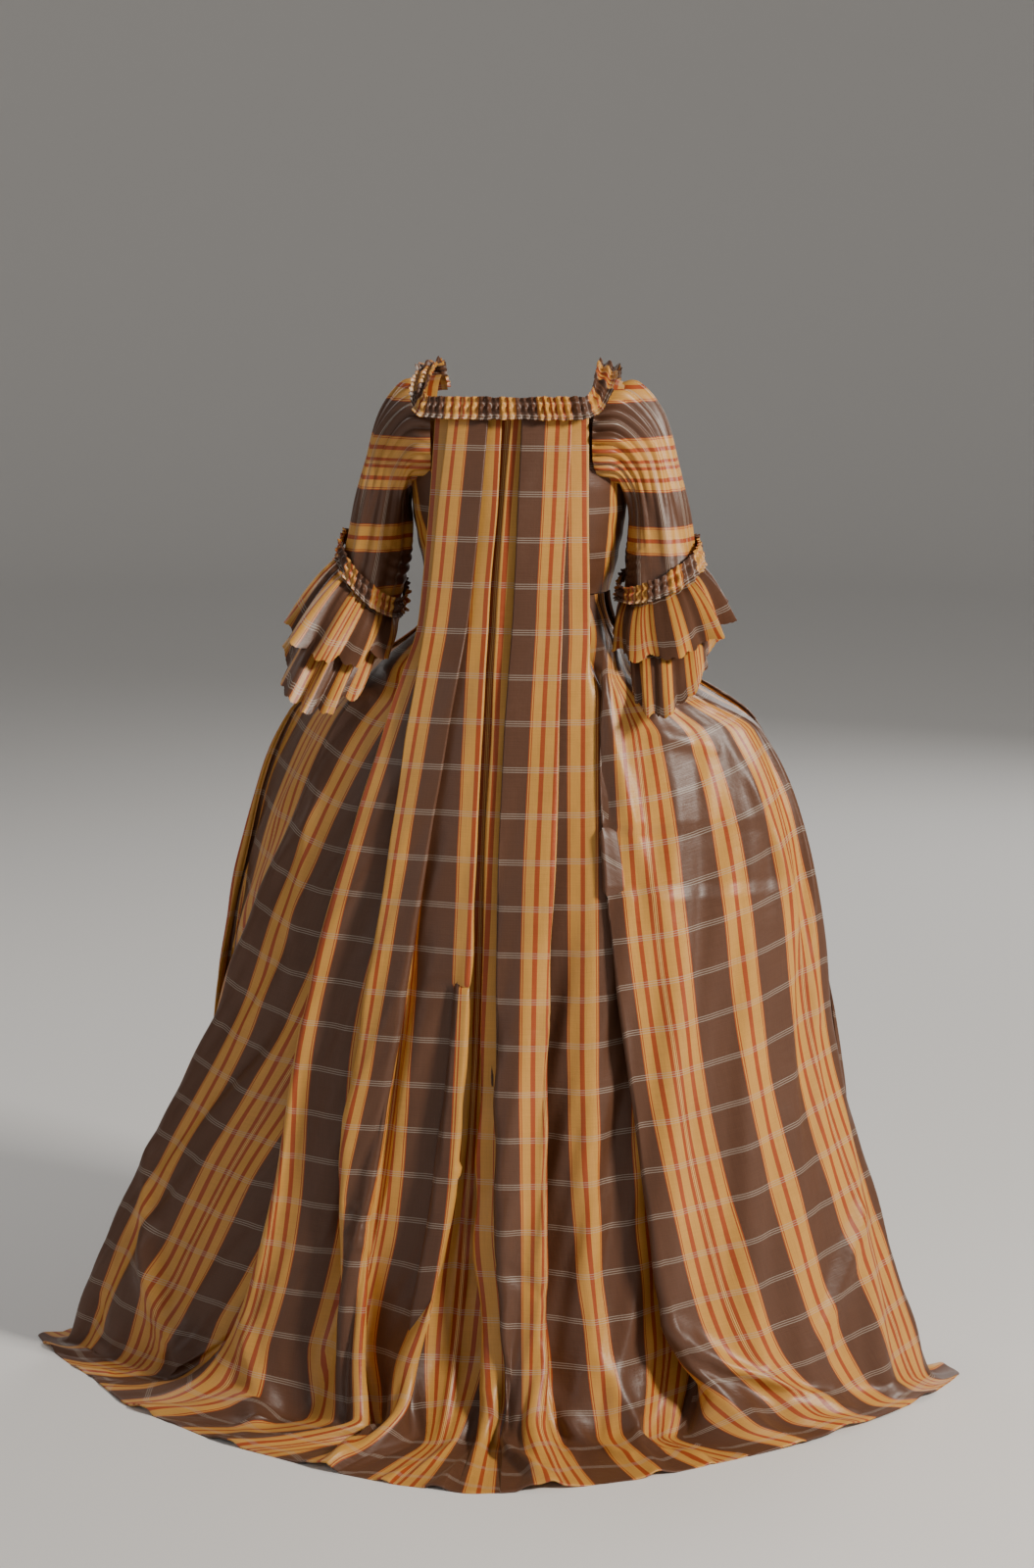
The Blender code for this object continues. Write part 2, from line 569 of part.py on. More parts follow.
BODICE_FOOT = HEIGHT[WAIST] + 0.0012
SIDE_ANGLES = (40, 48, 56, 66, 78, 90, 99.9)
SIDE_TOP = (1.352, 1.358, 1.350, 1.292, 1.246, 1.238, 1.243)
FRONT_ANGLES = (100.1, 110, 118, 126, 134, 142, 150, 157)
FRONT_TOP = (1.243, 1.262, 1.320, 1.368, 1.366, 1.318, 1.272, 1.248)
STRAP_BACK = ((-0.066, 1.364), (-0.038, 1.391), (-0.008, 1.401), (0.022, 1.396),
              (0.046, 1.377))
STRAP_ACROSS = (0.106, 0.120, 0.134, 0.147)
STRAP_DROP = 0.010          # the shoulder falls this far across the strap
TRIM_LIFT = 0.0068          # a gathered band lies this far off the bodice
FRONT_WIDTH = 7.0           # half-width in degrees of the gathered band down each front
ROBING_ANGLES = (131, 141, 150, 150.5, 151)
ROBING_HEIGHTS = (1.362, 1.305, 1.250, 1.180, 1.108)
SLEEVE_SIDES = 18

for side_name, side in (("left", -1), ("right", 1)):
    grid = bodice_grid(side, SIDE_ANGLES, BODICE_FOOT, SIDE_TOP, 8)
    closed_sheet(f"bodice_side_{side_name}", grid, silk)
    grid = bodice_grid(side, FRONT_ANGLES, BODICE_FOOT, FRONT_TOP, 8)
    closed_sheet(f"bodice_front_{side_name}", grid, silk)

    across = np.array(STRAP_ACROSS)
    fall = STRAP_DROP * ((across - across[0]) / np.ptp(across)) ** 2
    grid = np.array([[(side * x, y, z - drop) for x, drop in zip(across, fall)]
                     for y, z in STRAP_BACK])
    closed_sheet(f"shoulder_strap_{side_name}", grid, silk)

    turns = np.arange(SLEEVE_SIDES) * 2 * np.pi / SLEEVE_SIDES
    rings = SLEEVES[side_name]
    closed_sheet(f"sleeve_{side_name}", np.array([ring_points(*r, turns) for r in rings]),
                 silk, wraps=True)

    centre, outer, rear = (np.array(v) for v in rings[-1])
    rising = [np.array(above) - np.array(last) for above, last in zip(rings[-2], rings[-1])]
    down = unit(np.cross(outer, rear)) * side
    columns = 2 * FLOUNCE_WAVES * 2
    turns = np.arange(columns) * 2 * np.pi / columns
    wave = np.cos(np.arange(columns) * np.pi / 2)
    out = unit(ring_points((0, 0, 0), outer, rear, turns))
    band = []
    for share, drop, size in CUFF_BAND:
        middle, wide, deep = (part + share * rise for part, rise in
                              zip((centre, outer, rear), rising))
        ring = ring_points(middle + down * drop, wide * size, deep * size, turns)
        band.append(ring + out * (wave * RUCHE_SWING * 0.8)[:, None])
    closed_sheet(f"cuff_ruche_{side_name}", np.array(band), trim, wraps=True)

    for level in ("upper", "lower"):
        name = f"flounce_{level}_{side_name}"
        low_centre, low_outer, low_rear, gathered = FLOUNCES[name]
        top = ring_points(centre + down * FLOUNCE_DROP, outer * gathered, rear * gathered,
                          turns)
        low = ring_points(low_centre, low_outer, low_rear, turns)
        swing = out * (wave * FLOUNCE_SWING)[:, None]
        rows = [top + (low - top) * share + swing * (0.12 + 0.88 * share)
                for share in (0, 0.33, 0.67, 1)]
        closed_sheet(name, np.array(rows), silk, wraps=True)

    middle = np.array(ROBING_ANGLES)
    heights = np.array(ROBING_HEIGHTS)
    edges = [torso(middle + shift, heights, out=TRIM_LIFT) * np.array([side, 1, 1])
             for shift in (-FRONT_WIDTH, FRONT_WIDTH)]
    closed_sheet(f"robing_{side_name}", gathered_band(*edges, 25, RUCHE_SWING), trim)

closed_sheet("neck_ruche", gathered_band(NECK_OUTER, NECK_INNER, 51, RUCHE_SWING), trim)
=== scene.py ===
# %% [markdown]
# # A striped silk gown with a sack back
#
# The gown is a *robe a la francaise*: two box pleats fall from the neck to a short
# train, and wide pleated skirts stand out over the hips.  Everything here is thin
# silk, so every piece is a surface, one sheet of points, laid on the solid frame of
# the part.  This first cell loads that frame and keeps its meshes by name.

# %% Load the frame
import bpy
import numpy as np
from mathutils import Matrix

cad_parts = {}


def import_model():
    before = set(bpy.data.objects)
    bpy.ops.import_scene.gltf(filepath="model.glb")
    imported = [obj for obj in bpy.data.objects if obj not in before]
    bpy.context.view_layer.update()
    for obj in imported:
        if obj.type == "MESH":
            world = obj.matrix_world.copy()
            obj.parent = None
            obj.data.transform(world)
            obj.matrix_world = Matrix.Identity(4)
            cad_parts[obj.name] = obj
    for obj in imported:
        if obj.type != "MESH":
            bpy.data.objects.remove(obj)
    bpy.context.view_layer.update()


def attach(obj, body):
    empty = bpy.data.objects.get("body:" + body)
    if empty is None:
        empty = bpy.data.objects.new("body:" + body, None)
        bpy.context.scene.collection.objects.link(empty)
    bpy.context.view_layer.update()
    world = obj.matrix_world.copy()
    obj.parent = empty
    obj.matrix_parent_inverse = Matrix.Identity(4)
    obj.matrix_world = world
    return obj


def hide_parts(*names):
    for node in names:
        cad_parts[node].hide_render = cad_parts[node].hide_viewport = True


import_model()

# %% [markdown]
# ## Driving sizes
#
# Heights count from the floor, because a gown is measured from the floor up; the last
# step lowers every point so that the shoulder straps are at the frame's origin.  The
# same few sizes drove the solid pieces.  First comes the outline at fourteen levels: how
# far it reaches to the back and to each side, how square it is behind, and the oval that
# it follows in front of the sides.

# %% Sizes and outline
SHOULDER_HEIGHT = 1.408
LAYER = 0.0048              # spacing of cloth folded on cloth
REPEAT = 0.218              # one wide and one narrow band with the brown between
FLOOR_LIFT = 0.0008
SACK_CLEAR_ANGLE = 42.0     # the side cloth starts here at the waist, under the sack
SLIT_GAP = 0.0020
SEAM_TURN = 0.014
CENTRE_CLOTH = 4.44         # place across the silk behind the body, in repeats
FLOOR_SPREAD = 1.04

# height, back, left, right, roundness, widen, front
RINGS = {
    "neck":  (1.352, 0.105, 0.200, 0.200, 2.40, 0.150, 0.100),
    "bust":  (1.240, 0.130, 0.200, 0.200, 2.40, 0.150, 0.100),
    "waist": (1.105, 0.155, 0.220, 0.220, 2.40, 0.124, 0.097),
    "pad":   (1.070, 0.162, 0.230, 0.230, 2.40, 0.131, 0.102),
    "brim":  (1.010, 0.184, 0.275, 0.305, 2.30, 0.205, 0.132),
    "flank": (0.972, 0.192, 0.297, 0.342, 2.30, 0.272, 0.153),
    "hip":   (0.930, 0.200, 0.315, 0.372, 2.30, 0.330, 0.172),
    "thigh": (0.720, 0.238, 0.385, 0.442, 2.20, 0.402, 0.205),
    "knee":  (0.500, 0.272, 0.455, 0.468, 2.00, 0.450, 0.232),
    "shin":  (0.280, 0.306, 0.565, 0.530, 1.85, 0.472, 0.247),
    "ankle": (0.100, 0.345, 0.645, 0.590, 1.70, 0.484, 0.256),
    "floor": (0.036, 0.392, 0.674, 0.614, 1.60, 0.487, 0.258),
    "train": (0.018, 0.470, 0.692, 0.624, 1.55, 0.489, 0.260),
    "hem":   (0.003, 0.545, 0.708, 0.632, 1.50, 0.490, 0.261),
}
ROWS = list(RINGS)
SIDES = (("left", -1), ("right", 1))
WAIST, PAD, BRIM, HIP, KNEE = (ROWS.index(n) for n in ("waist", "pad", "brim", "hip", "knee"))
ANKLE, FLOOR, TRAIN, HEM = (ROWS.index(n) for n in ("ankle", "floor", "train", "hem"))
print(len(RINGS), "levels from", RINGS["neck"][0], "m down to the floor")

# %% [markdown]
# ## The pleats
#
# The back is one flat run of silk, pleated.  Each fold edge that shows has a row: which
# place across the silk lies on it, how far sideways it stands at each level, and how
# much cloth lies over it.  The front is plainer, so its edges are placed by an angle
# round the body.  A tuck is the cloth folded in between two edges: half of it goes under
# one edge and comes back.

# %% Pleats
# cloth, foot (repeats), sideways place at neck ... floor, layers over, sunk, crest
FOLDS = {
    "left_side":   (0.21, 0.21, None, None, -0.114, -0.123, -0.182, -0.220,
                    -0.250, -0.345, -0.425, -0.540, -0.622, -0.655, 3.5, 0.000, 0.010),
    "left_outer":  (2.07, 1.86, -0.109, -0.115, -0.124, -0.128, -0.145, -0.157,
                    -0.170, -0.230, -0.280, -0.316, -0.372, -0.415, 2.5, 0.004, 0.034),
    "left_top":    (2.42, 2.66, -0.085, -0.096, -0.107, -0.111, -0.119, -0.125,
                    -0.132, -0.161, -0.192, -0.214, -0.206, -0.196, 0.5, 0.000, 0.016),
    "left_inner":  (2.74, 2.92, -0.029, -0.036, -0.048, -0.052, -0.061, -0.067,
                    -0.073, -0.106, -0.139, -0.172, -0.178, -0.168, 0.5, 0.000, 0.018),
    "left_under":  (3.53, 3.56, -0.012, -0.015, -0.024, -0.025, -0.026, -0.027,
                    -0.028, -0.034, -0.041, -0.058, -0.098, -0.118, 2.5, 0.004, 0.040),
    "centre":      (4.00, 4.00, -0.006, -0.011, -0.018, -0.019, -0.021, -0.022,
                    -0.023, -0.028, -0.034, -0.044, -0.055, -0.062, 4.5, 0.055, 0.000),
    "right_under": (4.46, 4.44, 0.000, -0.007, -0.013, -0.014, -0.015, -0.0155,
                    -0.016, -0.021, -0.026, -0.028, -0.012, -0.004, 2.5, 0.030, 0.008),
    "right_inner": (4.66, 4.66, 0.016, 0.014, 0.010, 0.009, 0.007, 0.005,
                    0.003, -0.003, 0.000, 0.010, 0.022, 0.030, 0.5, 0.000, 0.020),
    "right_top":   (5.00, 5.00, 0.084, 0.082, 0.078, 0.078, 0.078, 0.0775,
                    0.077, 0.074, 0.072, 0.073, 0.073, 0.074, 0.5, 0.000, 0.042),
    "right_outer": (5.54, 5.50, 0.108, 0.112, 0.116, 0.117, 0.118, 0.1185,
                    0.119, 0.123, 0.127, 0.134, 0.152, 0.168, 2.5, 0.010, 0.012),
    "right_hip":   (6.70, 6.60, None, None, 0.108, 0.118, 0.136, 0.1335,
                    0.131, 0.144, 0.176, 0.208, 0.258, 0.318, 1.2, -0.006, 0.052),
    "right_side":  (8.24, 8.24, None, None, 0.120, 0.127, 0.190, 0.280,
                    0.345, 0.420, 0.447, 0.507, 0.566, 0.594, 1.5, 0.000, 0.010),
}
# angle from the back at the waist and the foot, rise of the hem, cloth left and right
FRONT_FOLDS = {
    "pleat_1":    (94.0, 96.0, 0.55, -0.89, 9.34),
    "pleat_2":    (108.0, 109.0, 0.85, -1.69, 10.14),
    "pleat_3":    (122.0, 123.0, 1.00, -2.47, 10.92),
    "pleat_4":    (135.0, 138.0, 1.00, -3.27, 11.72),
    "front_edge": (155.0, 160.0, 1.00, -4.05, 12.50),
}
FRONT_HEIGHTS = {"floor": 0.072, "train": 0.050, "hem": 0.028}
# start, end, over, cloth at the hip and the foot (repeats), how far it stands open
TUCKS = {
    "left_seam":    ("left_side", "left_outer", "left_outer", 0.86, 1.62, 0.60),
    "left_tuck":    ("left_outer", "left_top", "left_top", 0.34, 0.80, 0.70),
    "left_box":     ("left_inner", "left_under", "left_inner", 0.33, 0.66, 0.72),
    "centre_left":  ("left_under", "centre", "left_under", 0.37, 0.46, 0.80),
    "centre_right": ("centre", "right_under", "right_under", 0.33, 0.40, 0.80),
    "right_tuck":   ("right_under", "right_inner", "right_inner", 0.24, 0.27, 0.70),
    "right_box":    ("right_top", "right_outer", "right_top", 0.54, 0.56, 0.80),
    "right_seam":   ("right_outer", "right_hip", "right_hip", 0.16, 1.16, 0.72),
}
FRONT_TUCKS = {
    "tuck_0": ("side", "pleat_1", "pleat_1", 0.30, 1.10, 0.60),
    "tuck_1": ("pleat_1", "pleat_2", "pleat_2", 0.30, 0.80, 0.75),
    "tuck_2": ("pleat_2", "pleat_3", "pleat_3", 0.30, 0.78, 0.75),
    "tuck_3": ("pleat_3", "pleat_4", "pleat_4", 0.30, 0.80, 0.75),
}
LAST_ON_WAIST = {"left_side": BRIM, "right_hip": PAD, "right_side": BRIM}
print(len(FOLDS), "fold edges behind and", 2 * len(FRONT_FOLDS), "in front")

# %% [markdown]
# ## The outline at each level
#
# A horizontal cut through the gown is a rounded outline: a superellipse behind, where
# the train spreads, and an oval in front of the sides.  Each fold edge is a point on
# that outline, moved in by the layers of cloth that lie over it.

# %% Outline functions
HEIGHT, BACK, LEFT, RIGHT, ROUND, WIDEN, FRONT = np.array(list(RINGS.values())).T
OUTLINE_REACH = 0.995       # the outline is followed out to this share of its half-width
OUTLINE_POINTS = 401


def unit(vectors):
    """Each vector divided by its length."""
    return vectors / np.maximum(np.linalg.norm(vectors, axis=-1, keepdims=True), 1e-9)


def smooth_step(value):
    """t squared times (3 - 2 t): 0 to 1 with level ends."""
    value = np.clip(value, 0, 1)
    return value * value * (3 - 2 * value)


def running_length(points, axis=0):
    """Length travelled along a line of points, or along one way of a grid."""
    steps = np.linalg.norm(np.diff(points, axis=axis), axis=-1)
    return np.insert(np.cumsum(steps, axis=axis), 0, 0, axis=axis)


OPENED = smooth_step((HEIGHT[BRIM] - HEIGHT) / (HEIGHT[BRIM] - HEIGHT[ANKLE]))
SPREAD = smooth_step((HEIGHT[WAIST] - HEIGHT) / (HEIGHT[WAIST] - HEIGHT[ANKLE]))
TRAVEL = smooth_step((HEIGHT[KNEE] - HEIGHT) / (HEIGHT[KNEE] - HEIGHT[FLOOR]))


def behind(sideways, row, depth=0.0):
    """|x / half|^n + |y / back|^n = 1, solved for y, then moved in by a depth."""
    half = LEFT[row] if sideways < 0 else RIGHT[row]
    share = min(abs(sideways) / half, OUTLINE_REACH)
    reach = BACK[row] * (1 - share ** ROUND[row]) ** (1 / ROUND[row])
    point = np.array([sideways, -reach])
    return point - depth * unit(point / np.array([half, BACK[row]]) ** 2)


def before(angle, side, row, depth=0.0):
    """Widen times sine, front times cosine of the angle, moved in by a depth."""
    turn = np.radians(angle)
    point = np.array([side * WIDEN[row] * np.sin(turn), -FRONT[row] * np.cos(turn)])
    return point - depth * unit(point / np.array([WIDEN[row], FRONT[row]]) ** 2)


def along_outline(length, row):
    """Sideways place at a length along the back's outline, counted from the middle."""
    ends = OUTLINE_REACH * LEFT[row], OUTLINE_REACH * RIGHT[row]
    places = np.linspace(-ends[0], ends[1], OUTLINE_POINTS)
    travelled = running_length(np.array([behind(place, row) for place in places]))
    travelled -= np.interp(0, places, travelled)
    return float(np.interp(length, travelled, places))


print("outline is", round(float(LEFT[HEM] + RIGHT[HEM]), 3), "m wide at the hem")

# %% [markdown]
# ## Corners of the pleats
#
# A pleat has two fold edges that show and one hidden fold between them.  An edge that
# shows lies on the outline, sunk by the cloth that covers it.  On the floor the edges
# spread like a fan, by how much cloth lies between them.

# %% Edges that show
CREST_KEPT = {TRAIN: 0.35, HEM: 0.10}   # share of a fold's crest left on the floor


def fold_depth(layers, sunk, row):
    """Layers of cloth above, blended to the sunk depth below."""
    return layers * LAYER * (1 - SPREAD[row]) + sunk * SPREAD[row]


def fold_corner(name, row):
    """A fold edge of the back at one level."""
    _, foot, *places, layers, sunk, crest = FOLDS[name]
    if row >= TRAIN:
        length = (foot - CENTRE_CLOTH) * REPEAT * FLOOR_SPREAD
        place = along_outline(length, HEM)
        if row == TRAIN:
            place = 0.5 * (place + places[FLOOR])
        return np.append(behind(place, row), FLOOR_LIFT + crest * CREST_KEPT[row])
    if row == FLOOR:
        return np.append(behind(places[row], row), FLOOR_LIFT + crest)
    place = places[row]
    if places[0] is None and row <= LAST_ON_WAIST[name]:
        angle = np.degrees(np.arcsin(abs(place) / WIDEN[row]))
        point = before(angle, np.sign(place), row)
    else:
        point = behind(place, row, fold_depth(layers, sunk, row))
    return np.append(point, HEIGHT[row])


def front_corner(name, side, row):
    """A fold edge in front of the sides; its hem rises towards the front."""
    high, low, risen = FRONT_FOLDS[name][:3]
    height = HEIGHT[row]
    if row >= FLOOR:
        height += (FRONT_HEIGHTS[ROWS[row]] - height) * risen
    return np.append(before(high + (low - high) * SPREAD[row], side, row), height)


print("front edge is", round(float(front_corner("front_edge", 1, HEM)[2]) * 1000),
      "mm clear of the floor")

# %% [markdown]
# ## Hidden folds
#
# Where a pleat is pressed, its hidden fold lies flat under the edge, half of the pleat's
# cloth away.  Lower down the pleat opens into a trough, and the two sides of the trough
# add up to the cloth that the pleat holds.

# %% Hidden folds
TUCK_LEAN = 0.16            # on the floor a hidden fold lies this far off the middle
TUCK_INSET = {FLOOR: 0.030, TRAIN: 0.010, HEM: 0.0}     # and this share further in
BRIM_LAYERS, SEAM_LAYERS = 4.5, 3.5     # cloth over the side seams, at the brim and above
TUCK_LAYERS, FRONT_LAYERS = 1.6, 2      # how far a pressed fold lies under its edge
LEAST_CLOTH = 1.06          # a pleat holds at least this much of what it spans


def open_corner(start, end, cloth, open_share, beyond):
    """The tip of a triangle on the chord whose two sides add up to the cloth."""
    chord = end - start
    span = np.linalg.norm(chord)
    deepest = np.sqrt(max(cloth ** 2 - span ** 2, 1e-8)) / 2
    forward = chord / span
    middle = (start + end) / 2
    inward = np.array([-forward[1], forward[0]])
    inward *= -np.sign(inward @ middle)
    reach = cloth / 2 * np.sqrt(1 - open_share ** 2)
    return middle + beyond * reach * forward + open_share * deepest * inward


def tuck_corner(name, row, corners):
    """The hidden fold: pressed flat at the hip, an open trough lower down."""
    start_name, end_name, over_name, top, foot, open_share = all_tucks[name]
    start, end, over = (corners[n] for n in (start_name, end_name, over_name))
    beyond = 1 if over_name == end_name else -1
    if row >= FLOOR:
        middle = start + (end - start) * (0.5 + TUCK_LEAN * beyond)
        middle[:2] *= 1 - TUCK_INSET[row]
        risen = min(start[2], end[2]) if "tuck_" in name else FLOOR_LIFT
        middle[2] = max(risen, FLOOR_LIFT)
        return middle
    if name == "right_seam" and row == BRIM:
        place = (start[0] + end[0]) / 2
        return np.append(behind(place, row, fold_depth(BRIM_LAYERS, 0, row)), HEIGHT[row])
    if name in ("left_seam", "right_seam") and row <= BRIM:
        edge = corners["left_outer" if name == "left_seam" else "right_outer"]
        place = edge[0] - np.sign(edge[0]) * SEAM_TURN
        return np.append(behind(place, row, fold_depth(SEAM_LAYERS, 0, row)), HEIGHT[row])
    span = np.linalg.norm((end - start)[:2])
    cloth = max(REPEAT * (top + (foot - top) * OPENED[row]), LEAST_CLOTH * span)
    hidden = (cloth - span) / 2
    if "tuck_" in name:
        side = np.sign(over[0])
        angle = np.degrees(np.arctan2(abs(over[0]) / WIDEN[row], -over[1] / FRONT[row]))
        step = np.degrees(hidden / (0.5 * (WIDEN[row] + FRONT[row])))
        pressed = before(angle + step, side, row, FRONT_LAYERS * LAYER)
    else:
        heading = unit((end - start)[:2]) * beyond
        layers, sunk = FOLDS[over_name][-3:-1]
        pressed = behind(over[0] + heading[0] * hidden, row,
                         fold_depth(layers, sunk, row) + TUCK_LAYERS * LAYER)
    opened = open_corner(start[:2], end[:2], cloth, open_share, beyond)
    return np.append(pressed + (opened - pressed) * OPENED[row], HEIGHT[row])


def side_tucks(side):
    """The pleats in front of one side, named for that side."""
    return {f"{side}_{name}": tuple(f"{side}_{n}" for n in entry[:3]) + entry[3:]
            for name, entry in FRONT_TUCKS.items()}


all_tucks = {**TUCKS, **side_tucks("left"), **side_tucks("right")}
print(len(all_tucks), "hidden folds")

# %% [markdown]
# ## Every corner at each level
#
# The side seams come last, because each starts under the sack and runs down into the
# slit between the sack and the side cloth.

# %% Corners at each level
def row_corners(row):
    """Every corner of the skirt and sack at one level, by name."""
    corners = {name: fold_corner(name, row) for name, entry in FOLDS.items()
               if entry[2 + min(row, FLOOR)] is not None}
    if row >= WAIST:
        for side_name, side in SIDES:
            for name in FRONT_FOLDS:
                corners[f"{side_name}_{name}"] = front_corner(name, side, row)
    known = dict(corners)
    known.setdefault("left_side", corners["left_outer"])
    known.setdefault("right_hip", corners["right_outer"])
    for name, entry in all_tucks.items():
        if (entry[0] in corners and entry[1] in corners) or "seam" in name:
            corners[name] = tuck_corner(name, row, known)
    for side_name, side in SIDES:
        seam = corners[f"{side_name}_seam"]
        if row <= PAD:
            point = np.append(before(SACK_CLEAR_ANGLE, side, row), HEIGHT[row])
        elif row < HIP:
            inner = corners["left_side" if side < 0 else "right_hip"]
            point = seam + unit(inner - seam) * SLIT_GAP
        else:
            point = seam
        corners[f"{side_name}_slit"] = point
    return corners


all_corners = [row_corners(row) for row in range(len(ROWS))]
print(len(all_corners[HEM]), "corners at the hem")

# %% [markdown]
# ## Where each corner lies on the silk
#
# The stripes run down the skirt, so the place across the silk decides which stripe
# lies on each fold.  A fold edge has that place in the table.  A hidden fold's place
# is its neighbour's plus the cloth between them; high up, where the pleats are
# deeper than the frame shows, the two sides of the fold give different places.

# %% Cloth places
def fold_cloth(name, row):
    """Place of a fold edge across the silk, in metres."""
    if name in FOLDS:
        cloth, foot = FOLDS[name][:2]
        return (cloth + (foot - cloth) * TRAVEL[row]) * REPEAT
    side, fold = name.split("_", 1)
    return FRONT_FOLDS[fold][3 if side == "left" else 4] * REPEAT


def cloth_places(row):
    """{corner: {neighbour: place}}: the place on the side that faces the neighbour."""
    corners = dict(all_corners[row])
    if row < WAIST:
        for name, point in all_corners[WAIST].items():
            corners.setdefault(name, point)
    places = {}
    for name, (start, end, over, *_) in all_tucks.items():
        first, last = fold_cloth(start, row), fold_cloth(end, row)
        along = np.sign(last - first)
        tip = corners[name]
        if row >= FLOOR:
            share = 0.5 + (TUCK_LEAN if over == end else -TUCK_LEAN)
            near = far = first + (last - first) * share
        else:
            near = first + along * np.linalg.norm(tip - corners[start])
            far = last - along * np.linalg.norm(tip - corners[end])
        places[name] = {start: near, end: far}
    places["left_slit"] = places["left_seam"]
    places["right_slit"] = places["right_seam"]
    return places


all_places = [cloth_places(row) for row in range(len(ROWS))]
hem_repeats = FRONT_FOLDS["front_edge"][4] - FRONT_FOLDS["front_edge"][3]
print("cloth across the hem", round(hem_repeats * REPEAT, 2), "m")

# %% [markdown]
# ## Many more levels
#
# Fourteen levels are enough for a frame but not for cloth.  A monotone cubic through
# the corners gives a level every few millimetres without any swing past the given
# points, which a plain cubic would have where the skirt meets the floor.

# %% Fine levels
ROW_STEP = 0.0085


def through(places, values, wanted):
    """Monotone cubic: end slopes plain, inner slopes a weighted harmonic mean."""
    values = np.asarray(values, float)
    gaps = np.diff(places).reshape(-1, *[1] * (values.ndim - 1))
    rises = np.diff(values, axis=0) / gaps
    heavy, light = 2 * gaps[1:] + gaps[:-1], gaps[1:] + 2 * gaps[:-1]
    same = rises[1:] * rises[:-1] > 1e-12
    safe = np.where(same, rises[:-1], 1), np.where(same, rises[1:], 1)
    mean = (heavy + light) / (heavy / safe[0] + light / safe[1])
    slopes = np.concatenate([rises[:1], np.where(same, mean, 0), rises[-1:]])
    at = np.clip(np.searchsorted(places, wanted) - 1, 0, len(places) - 2)
    t = ((wanted - places[at]) / np.diff(places)[at]).reshape(-1, *[1] * (values.ndim - 1))
    gap = gaps[at]
    return (values[at] * (1 + 2 * t) * (1 - t) ** 2 + slopes[at] * gap * t * (1 - t) ** 2
            + values[at + 1] * t * t * (3 - 2 * t) + slopes[at + 1] * gap * t * t * (t - 1))


level_at = np.append(0, np.cumsum(np.hypot(np.diff(HEIGHT), np.diff(BACK))))
fine = np.concatenate([np.linspace(a, b, max(2, round((b - a) / ROW_STEP)), endpoint=False)
                       for a, b in zip(level_at[:-1], level_at[1:])] + [level_at[-1:]])
rings = through(level_at, np.array(list(RINGS.values())), fine)
opened = through(level_at, OPENED, fine)
names = list(all_corners[HEM])
filled = [{**all_corners[WAIST], **all_corners[row]} for row in range(len(ROWS))]
for row in range(WAIST):
    for name in names:
        filled[row][name] = np.append(filled[row][name][:2], HEIGHT[row])
place_of = {name: through(level_at, [filled[r][name] for r in range(len(ROWS))], fine)
            for name in names}
print(len(fine), "levels of cloth")


def cloth_of(name, facing):
    """Fine places across the silk of a corner, on the side that faces a neighbour."""
    if name in all_places[0]:
        values = [all_places[row][name][facing] for row in range(len(ROWS))]
    else:
        values = [fold_cloth(name, row) for row in range(len(ROWS))]
    return through(level_at, values, fine)


def on_outline(points):
    """Each point pushed straight out from the axis to its level's outline."""
    back, left, right, power, widen, front = rings[:, 1:].T[:, :, None]
    x, y = points[..., 0], points[..., 1]
    half = np.where(x < 0, left, right)
    rear = ((np.abs(x) / half) ** power + (np.abs(y) / back) ** power) ** (1 / power)
    fore = np.hypot(x / widen, y / front)
    size = np.where(y > 0, fore, rear)
    return points[..., :2] / np.maximum(size, 1e-6)[..., None]


# %% [markdown]
# ## From corners to cloth
#
# Folded silk never has a sharp edge: it turns through a small round.  Each corner
# becomes two points across the turn.  The turn is tight where the pleats are pressed
# and soft near the floor.

# %% Turns
FRONT_CHAIN = ("tuck_0", "pleat_1", "tuck_1", "pleat_2", "tuck_2", "pleat_3", "tuck_3",
               "pleat_4", "front_edge")
BACK_CHAIN = ("left_side", "left_seam", "left_outer", "left_tuck", "left_top",
              "left_inner", "left_box", "left_under", "centre_left", "centre",
              "centre_right", "right_under", "right_tuck", "right_inner", "right_top",
              "right_box", "right_outer", "right_seam", "right_hip", "right_side")
CHAIN = [*(f"left_{name}" for name in reversed(FRONT_CHAIN)), *BACK_CHAIN,
         *(f"right_{name}" for name in FRONT_CHAIN)]
# first and last corner of each sheet
SHEETS = {
    "front_skirt_left": ("left_front_edge", "left_tuck_2"),
    "side_left": ("left_tuck_2", "left_slit"),
    "back_left": ("left_seam", "centre"),
    "back_right": ("centre", "right_seam"),
    "side_right": ("right_slit", "right_tuck_2"),
    "front_skirt_right": ("right_tuck_2", "right_front_edge"),
}
# faces that bulge with the outline instead of running straight, and how much
FOLLOW = {("left_side", "left_seam"): 0.8, ("right_hip", "right_side"): 0.9,
          ("left_front_edge", "left_pleat_4"): 1.0, ("right_pleat_4", "right_front_edge"): 1.0,
          ("left_top", "left_inner"): 0.3, ("right_inner", "right_top"): 0.3,
          ("left_outer", "left_tuck"): 0.5, ("right_outer", "right_seam"): 0.5}
TURN_TIGHT, TURN_SOFT = LAYER / 2, 0.0075
ROUND_TIGHT, ROUND_SOFT = 0.0024, 0.022

half_turn = TURN_TIGHT + (TURN_SOFT - TURN_TIGHT) * opened
rounding = ROUND_TIGHT + (ROUND_SOFT - ROUND_TIGHT) * opened


def turn_way(name):
    """Unit vector across the turn: the mean of the headings before and after."""
    at = CHAIN.index(name.replace("slit", "seam"))
    here = place_of[CHAIN[at]]
    headings = [unit(place_of[CHAIN[at + 1]] - here)] if at + 1 < len(CHAIN) else []
    if at > 0:
        headings.append(unit(here - place_of[CHAIN[at - 1]]))
    return unit(sum(headings))


